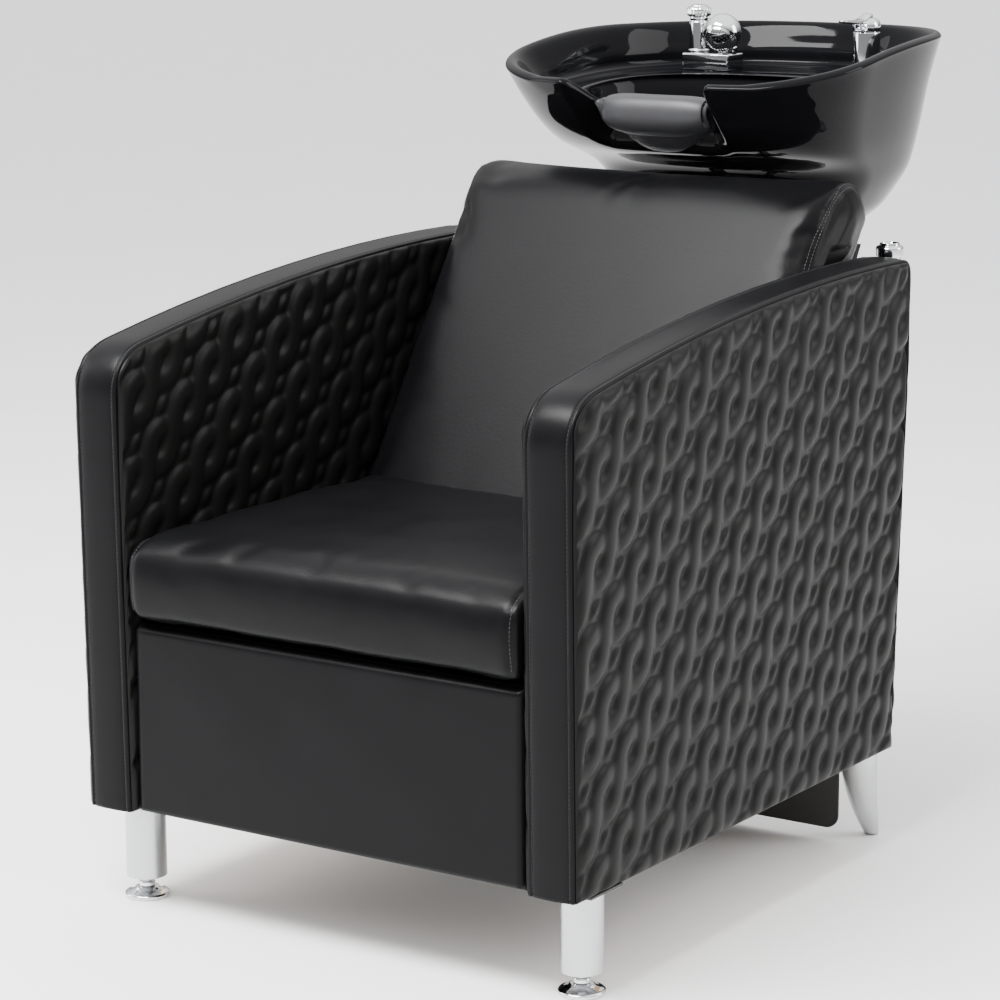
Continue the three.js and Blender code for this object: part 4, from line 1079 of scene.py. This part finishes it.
quarter = np.linspace(0, np.pi / 2, 9)
x0, y0, y1, r = 142.0, FITTING_Y - 22, FITTING_Y + 60, 30.0
BORE_RADIUS = 12.8
corners = [(x0 - r, y1 - r, 0), (r - x0, y1 - r, 1), (r - x0, y0 + r, 2), (x0 - r, y0 + r, 3)]
outline = np.array(
    [(cx + r * np.cos(a), cy + r * np.sin(a)) for cx, cy, k in corners for a in quarter + k * np.pi / 2]
)
levels = np.array([DECK_Z - 255, DECK_Z - 15])
hollow = np.array([np.column_stack([outline, np.full(len(outline), z)]) for z in levels]) * MM
carve(basin, cutter(hollow.reshape(-1, 3), skin_of(hollow)))
for node in ("spray_block", "mixer_body"):
    at = middle(node)
    low, high = DECK_Z - 40, DECK_Z + 20
    bore = spun([(0, low), (BORE_RADIUS, low), (BORE_RADIUS, high), (0, high)], at.x, at.y, 48)
    carve(basin, cutter(bore.reshape(-1, 3), skin_of(bore)))
print("basin:", len(basin.data.vertices), "vertices")

# %% [markdown]
# ## The neck rest
#
# A soft gel saddle hooks over the notch. It lies on the basin's own skin, half a millimetre off, and it is
# thickest where the neck rolls over it. Its lower part is moulded in a pebble pattern for grip, so the mesh
# there is fine enough to carry the pebbles as real bumps.

# %% The saddle and its pebbles
PAD_HALF = 76.0
PAD_THICK = 14.0
PAD_BELLY = 13.0  # more in front, where the pad hangs below the lip
PAD_CLEARANCE = 0.5
PEBBLE_PITCH = 5.4
PEBBLE_HEIGHT = 1.2
pad_stack = between_rings([INSIDE[1], INSIDE[0], RIM[1], RIM[0], *OUTSIDE[:4:-1]], 16)
fine = np.linspace(-np.pi, 0, 4001)
front_x = ring_points(RIM[0], fine)[:, 0]
pad_angles = np.interp(np.linspace(-PAD_HALF, PAD_HALF, 176), front_x, fine)
skin = np.array([ring_points(r, pad_angles) for r in pad_stack])
way = np.linspace(0, 1, len(skin))[:, None]
side = np.clip(np.abs(skin[len(skin) // 3, :, 0]) / PAD_HALF, 0, 1)[None]
reach = way * (1 - 0.16 * side**2.5) * (len(skin) - 1)
under = np.empty_like(skin)
for column in range(skin.shape[1]):
    for axis in range(3):
        under[:, column, axis] = np.interp(reach[:, column], np.arange(len(skin)), skin[:, column, axis])
along = np.gradient(under, axis=0)
across = np.gradient(under, axis=1)
out = np.cross(across, along)
out /= np.linalg.norm(out, axis=2)[:, :, None]
out *= np.sign(out[len(out) // 2, len(out[0]) // 2] @ np.array([0, -1.0, 0.4]))
swell = np.sin(np.pi * (0.06 + 0.90 * way)) ** 0.6 * (1 - 0.5 * side**4)
foot = 1 - 0.6 * side * np.clip((way - 0.75) / 0.25, 0, 1)
belly = PAD_BELLY * smooth_step((way - 0.30) / 0.3) * (1 - 0.7 * side**3)
thick = PAD_CLEARANCE + 1 + PAD_THICK * swell * foot + belly * np.sin(np.pi * way) ** 0.3
edge = np.minimum(np.minimum(way, 1 - way) * 130, (1 - side) * PAD_HALF)
thick = PAD_CLEARANCE + (thick - PAD_CLEARANCE) * rolled(edge / np.where(way > 0.5, 16, 6))


def pebbles(u, v, pitch):
    """Rounded bumps on a hexagonal lattice, from 0 to 1."""
    height = np.zeros(np.broadcast(u, v).shape)
    row = pitch * math.sqrt(3) / 2
    for half in (0, 1):
        cu = (np.round(u / pitch - half / 2) + half / 2) * pitch
        cv = (np.round((v / row - half) / 2) * 2 + half) * row
        gap = ((u - cu) ** 2 + (v - cv) ** 2) / (0.52 * pitch) ** 2
        height = np.maximum(height, np.sqrt(np.clip(1 - gap, 0, 1)))
    return height


arc = np.cumsum(np.linalg.norm(np.diff(under, axis=0, prepend=under[:1]), axis=2), axis=0)
grip = smooth_step((arc - 24 - 8 * side**2) / 8) * smooth_step(edge / 6)
thick = thick + PEBBLE_HEIGHT * grip * pebbles(under[:, :, 0], arc, PEBBLE_PITCH)
over = under + out * thick[:, :, None]
under = under + out * PAD_CLEARANCE * 0.6
sections = np.concatenate([over, under[::-1]], axis=0).transpose(1, 0, 2)
neck = loft("gel_neck_rest", sections * MM, GEL, "basin_unit", "neck_rest")
print("neck rest:", len(neck.data.vertices), "vertices")

# %% [markdown]
# ## The drain
#
# A chrome flange lines the drain, and a small strainer with a pull knob sits in it.

# %% The waste and its strainer
_, z0, z1 = upright("waste_body")
tube, bore = 22.5, 19.0
waste = [(bore - 4, z0), (tube, z0), (tube, z1 - 2.7), (33, z1 - 2.7), (32.4, z1), (bore, z1 - 1)]
waste += [(bore, z1 - 8.4), (bore - 4, z1 - 8.4), (bore - 4, z0)]
at = middle("waste_body")
rings = spun(waste, at.x, at.y, 72, 0.6)[:-1]
loft("drain_flange", rings, CHROME, "basin_unit", "waste_body", closed=True)
r, z0, z1 = upright("strainer")
cup = [(0, z0), (r, z0), (r, z0 + 2), (5, z0 + 4), (4, z0 + 9), (7, z0 + 13), (6, z1 - 0.8), (0, z1)]
turned("pull_strainer", cup, CHROME, "strainer_cup", "strainer", sides=48, corner=1.2)
print("drain made")

# %% [markdown]
# ## The hand spray and the vacuum breaker
#
# A chrome block on the deck carries a vacuum breaker, which is a column with a fluted cap, and a socket for
# the ball-shaped hand spray. The ball's lower front is pierced by rings of small jets.

# %% Block, breaker and socket
def rounded_block(low, high, bevel):
    work = bmesh.new()
    place = Matrix.Translation((low + high) / 2) @ Matrix.Diagonal((*(high - low), 1))
    bmesh.ops.create_cube(work, size=1.0, matrix=place)
    bmesh.ops.bevel(work, geom=work.edges[:], offset=bevel, segments=4, profile=0.5, affect="EDGES")
    points = [v.co.copy() for v in work.verts]
    faces = [[v.index for v in f.verts] for f in work.faces]
    work.free()
    return points, faces


low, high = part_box("spray_block")
deck = DECK_Z * MM + 0.4 * MM
points, faces = rounded_block(Vector((low.x, low.y, deck)), high, 2.2 * MM)
at = middle("spray_block")
shank = spun([(0, low.z / MM), (12, low.z / MM), (12, DECK_Z + 2), (0, DECK_Z + 2)], at.x, at.y, 48)
faces += skin_of(shank, first=len(points))
points += shank.reshape(-1, 3).tolist()
piece("chrome_block", points, faces, CHROME, "basin_unit", "spray_block")

r, z0, z1 = upright("breaker_body")
column = [(0, z0), (r, z0), (r, z0 + 3), (r - 2, z0 + 4), (r - 2, z1 - 7), (r - 3, z1 - 6), (r - 3, z1 - 4)]
column += [(r - 2, z1 - 3), (r - 2, z1), (0, z1)]
turned("breaker_column", column, CHROME, "basin_unit", "breaker_body", sides=64, corner=0.5)
r, z0, z1 = upright("breaker_cap")
cap = [(0, z0), (r - 2, z0), (r, z0 + 2), (r, z1 - 6), (r - 1.6, z1 - 3.4)]
cap += [(r - 5, z1 - 2.6), (r - 6, z1 - 0.6), (0, z1)]
shape = {"sides": 144, "corner": 0.9, "flutes": 12, "flute_depth": 0.07}
turned("fluted_breaker_cap", cap, CHROME, "basin_unit", "breaker_cap", **shape)
r, z0, z1 = upright("spray_socket")
collar = [(r - 2.6, z0), (r, z0), (r, z1 - 1.5), (r - 1, z1), (r - 2.6, z1), (r - 2.6, z0)]
at = middle("spray_socket")
collar_rings = spun(collar, at.x, at.y, 56, 0.4)[:-1]
loft("spray_collar", collar_rings, CHROME, "basin_unit", "spray_socket", closed=True)
print("block, breaker and socket made")

# %% The ball and its jets
low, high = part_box("spray_head")
ball_radius = (high.x - low.x) / 2 / MM
ball = np.array([(low.x + high.x) / 2, low.y + ball_radius * MM, high.z - ball_radius * MM]) / MM
turn = np.linspace(-np.pi / 2, np.pi / 2, 49)
profile = np.column_stack([ball_radius * np.cos(turn), ball[2] + ball_radius * np.sin(turn)])
around = full_turn(96)
shell = np.stack(
    [
        ball[0] + profile[:, :1] * np.cos(around),
        ball[1] + profile[:, :1] * np.sin(around),
        np.repeat(profile[:, 1:], 96, axis=1),
    ],
    axis=-1,
)
shell[[0, -1], :, 0] += 0.01 * np.cos(around)
shell[[0, -1], :, 1] += 0.01 * np.sin(around)
aim = np.array([0.12, -0.80, -0.59])
aim /= np.linalg.norm(aim)
lean = np.arccos(np.clip((shell - ball) @ aim / ball_radius, -1, 1))
FACE_EDGE, GROOVE_HALF = math.radians(56), math.radians(3.2)
groove = 0.7 * np.exp(-(((lean - FACE_EDGE) / GROOVE_HALF) ** 2))
shell -= ((shell - ball) / ball_radius) * groove[:, :, None]
points = (shell * MM).reshape(-1, 3).tolist()
faces = skin_of(shell)
at = middle("spray_socket")
foot = low.z / MM
stalk = [(0, foot), (8.5, foot), (8.5, ball[2] - 16), (7, ball[2] - 12), (0, ball[2] - 10)]
neck_rings = spun(stalk, at.x, at.y, 48)
faces += skin_of(neck_rings, first=len(points))
points += neck_rings.reshape(-1, 3).tolist()
piece("spray_ball", points, faces, CHROME, "hand_spray", "spray_head")

first = np.cross(aim, [1.0, 0, 0])
first /= np.linalg.norm(first)
second = np.cross(aim, first)
points, faces = [], []
for ring in range(1, 6):
    tilt = math.radians(9.5 * ring)
    for spoke in range(6 * ring):
        a = 2 * np.pi * spoke / (6 * ring) + ring
        facing = math.cos(tilt) * aim + math.sin(tilt) * (math.cos(a) * first + math.sin(a) * second)
        u = np.cross(facing, [0.3, 0.5, 0.81])
        u /= np.linalg.norm(u)
        v = np.cross(facing, u)
        girth = np.array([1.0, 1.0, 0.55])[:, None, None]
        rise = np.array([-0.6, 0.25, 0.45])[:, None, None]
        spin = full_turn(8)
        circle_points = u * np.cos(spin)[:, None] + v * np.sin(spin)[:, None]
        rings = ball + facing * (ball_radius + rise) + circle_points[None] * girth * 0.85
        faces += skin_of(rings, first=len(points))
        points += (rings * MM).reshape(-1, 3).tolist()
piece("spray_jets", points, faces, RUBBER, "hand_spray")
print("hand spray made")

# %% [markdown]
# ## The mixer
#
# The mixer is a plain chrome column with a low domed cap. A slim lever comes out of the cap towards the
# client and curves up at its tip. The lever is a flat oval section carried along a curve.

# %% Column, cap and lever
_, z0, z1 = upright("mixer_body")
deck_z = DECK_Z + 0.4
column = [(0, z0), (12, z0), (12, deck_z), (21, deck_z), (21, deck_z + 4)]
column += [(17.4, deck_z + 7), (16.5, deck_z + 11), (16.5, z1), (0, z1)]
turned("mixer_column", column, CHROME, "basin_unit", "mixer_body", sides=72, corner=1.6)
r, z0, z1 = upright("mixer_cap")
at = middle("mixer_cap")
dome = [(0, z0), (r, z0), (r, z1 - 8), (r - 2.5, z1 - 3), (r - 8, z1 - 0.6), (0, z1)]
cap = turned("mixer_dome", dome, CHROME, "mixer_swivel", "mixer_cap", sides=96, corner=2.5)
lever_low, lever_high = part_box("mixer_lever")
slot_half = (lever_high.x - lever_low.x) / 2 / MM + 0.6
points, faces = rounded_block(
    Vector((at.x - slot_half * MM, at.y - 0.03, (z1 - 15) * MM)),
    Vector((at.x + slot_half * MM, at.y + 0.009, (z1 + 9) * MM)),
    0.4 * MM,
)
carve(cap, cutter(points, faces))
cap.data.shade_smooth()

reach = (lever_high.y - lever_low.y) / MM
tip = np.array([lever_low.y / MM, lever_high.z / MM])
t = np.linspace(0, 1, 44)
spine_y = tip[0] + reach * (1 - t)
spine_z = lever_low.z / MM + 7.0 + 4.5 * np.exp(-((t / 0.22) ** 2)) + 3.6 * t**2.4
thick = np.interp(t, [0, 0.12, 0.3, 0.85, 1], [5.6, 6.2, 3.2, 2.3, 1.6])
wide = np.interp(t, [0, 0.2, 0.8, 0.95, 1], [6.9, 6.9, 6.6, 5.6, 3.4])
ends = np.sqrt(np.clip(1 - np.clip(1 - t / 0.06, 0, 1) ** 2, 0.02, 1))
ends = ends * np.sqrt(np.clip(1 - np.clip(1 - (1 - t) / 0.05, 0, 1) ** 2, 0.02, 1))
spin = full_turn(28)
oval = np.column_stack([np.sign(way) * np.abs(way) ** 0.6 for way in (np.cos(spin), np.sin(spin))])
lever = np.empty((len(t), len(spin), 3))
lever[:, :, 0] = at.x / MM + oval[:, 0] * (wide * ends)[:, None]
lever[:, :, 1] = spine_y[:, None]
lever[:, :, 2] = spine_z[:, None] + oval[:, 1] * (thick * ends)[:, None]
loft("mixer_handle", lever * MM, CHROME, "mixer_handle", "mixer_lever")
print("mixer made")

# %% [markdown]
# ## The stage
#
# A wide pale floor fills the view from this height, so no wall is needed. The light is a studio's: a bright
# even surround that the glaze and chrome can mirror, a large soft box above and in front, which draws the
# long highlights along the seat and the arms, and a weaker one behind to the right for the quilting's rims.

# %% Floor
floor_mesh = bpy.data.meshes.new("floor")
FLOOR_HALF = 60
corners = [(x * FLOOR_HALF, y * FLOOR_HALF, 0) for x, y in ((-1, -1), (1, -1), (1, 1), (-1, 1))]
floor_mesh.from_pydata(corners, [], [(0, 1, 2, 3)])
floor = linked("studio_floor", floor_mesh)
PALE = Finish("pale_floor", None, Specular_IOR_Level=0.2)
speckle = PALE.noise(6.0)
PALE.colour(speckle, (0.88, 0.88, 0.88), (0.92, 0.92, 0.92))
PALE.rough(speckle * 0.1 + 0.5)
floor.data.materials.append(PALE.material)

# %% Lights
world = bpy.data.worlds.new("studio")
bpy.context.scene.world = world
world.use_nodes = True
sky = world.node_tree
direction = sky.nodes.new("ShaderNodeTexCoord").outputs["Generated"]
parts = sky.nodes.new("ShaderNodeSeparateXYZ")
height = sky.nodes.new("ShaderNodeValToRGB")
sky.links.new(direction, parts.inputs[0])
sky.links.new(parts.outputs["Z"], height.inputs[0])
for element, (place, level) in zip(height.color_ramp.elements, [(0.10, 0.16), (0.75, 1.0)]):
    element.position = place
    element.color = (level, level, level, 1)
sky.links.new(height.outputs[0], sky.nodes["Background"].inputs["Color"])
sky.nodes["Background"].inputs["Strength"].default_value = 2.3


def soft_box(name, place, aim, size, power):
    light = bpy.data.lights.new(name, "AREA")
    light.shape = "RECTANGLE"
    light.size, light.size_y = size
    light.energy = power
    made = linked(name, light)
    made.location = place
    made.rotation_euler = (Vector(aim) - Vector(place)).to_track_quat("-Z", "Y").to_euler()


soft_box("overhead", (-0.4, -1.6, 3.0), (0, -0.2, 0.5), (2.2, 1.1), 330)
soft_box("left_window", (-3.2, -1.4, 1.6), (0, 0, 0.6), (1.6, 2.2), 60)
soft_box("right_rear", (3.0, 1.6, 1.9), (0.2, 0, 0.5), (1.4, 2.0), 70)

# %% [markdown]
# ## The camera
#
# The camera stands in front and to the right of the chair, a little above it, with a long lens. It is given
# by where it stands, the two angles it looks back along, and a slight roll.

# %% Camera
AZIMUTH = 0.5908
ELEVATION = 0.2023
ROLL = -0.0037
PLACE = Vector((1.97276, -3.15043, 1.15631))
SENSOR_WIDTH = 36  # millimetres, as is the focal length
FOCAL_LENGTH = 117.83304
FAR_END = 200
level = math.cos(ELEVATION)
back = Vector((math.sin(AZIMUTH) * level, -math.cos(AZIMUTH) * level, math.sin(ELEVATION)))
right = Vector((math.cos(AZIMUTH), math.sin(AZIMUTH), 0))
up = back.cross(right)
turned_right = math.cos(ROLL) * right + math.sin(ROLL) * up
turned_up = -math.sin(ROLL) * right + math.cos(ROLL) * up
camera_data = bpy.data.cameras.new("camera")
camera_data.sensor_width = SENSOR_WIDTH
camera_data.lens = FOCAL_LENGTH
camera_data.clip_end = FAR_END
camera = linked("camera", camera_data)
facing = Matrix((turned_right, turned_up, back)).transposed().to_4x4()
camera.matrix_world = Matrix.Translation(PLACE) @ facing
bpy.context.scene.camera = camera
print("lens:", round(camera_data.lens, 1), "mm")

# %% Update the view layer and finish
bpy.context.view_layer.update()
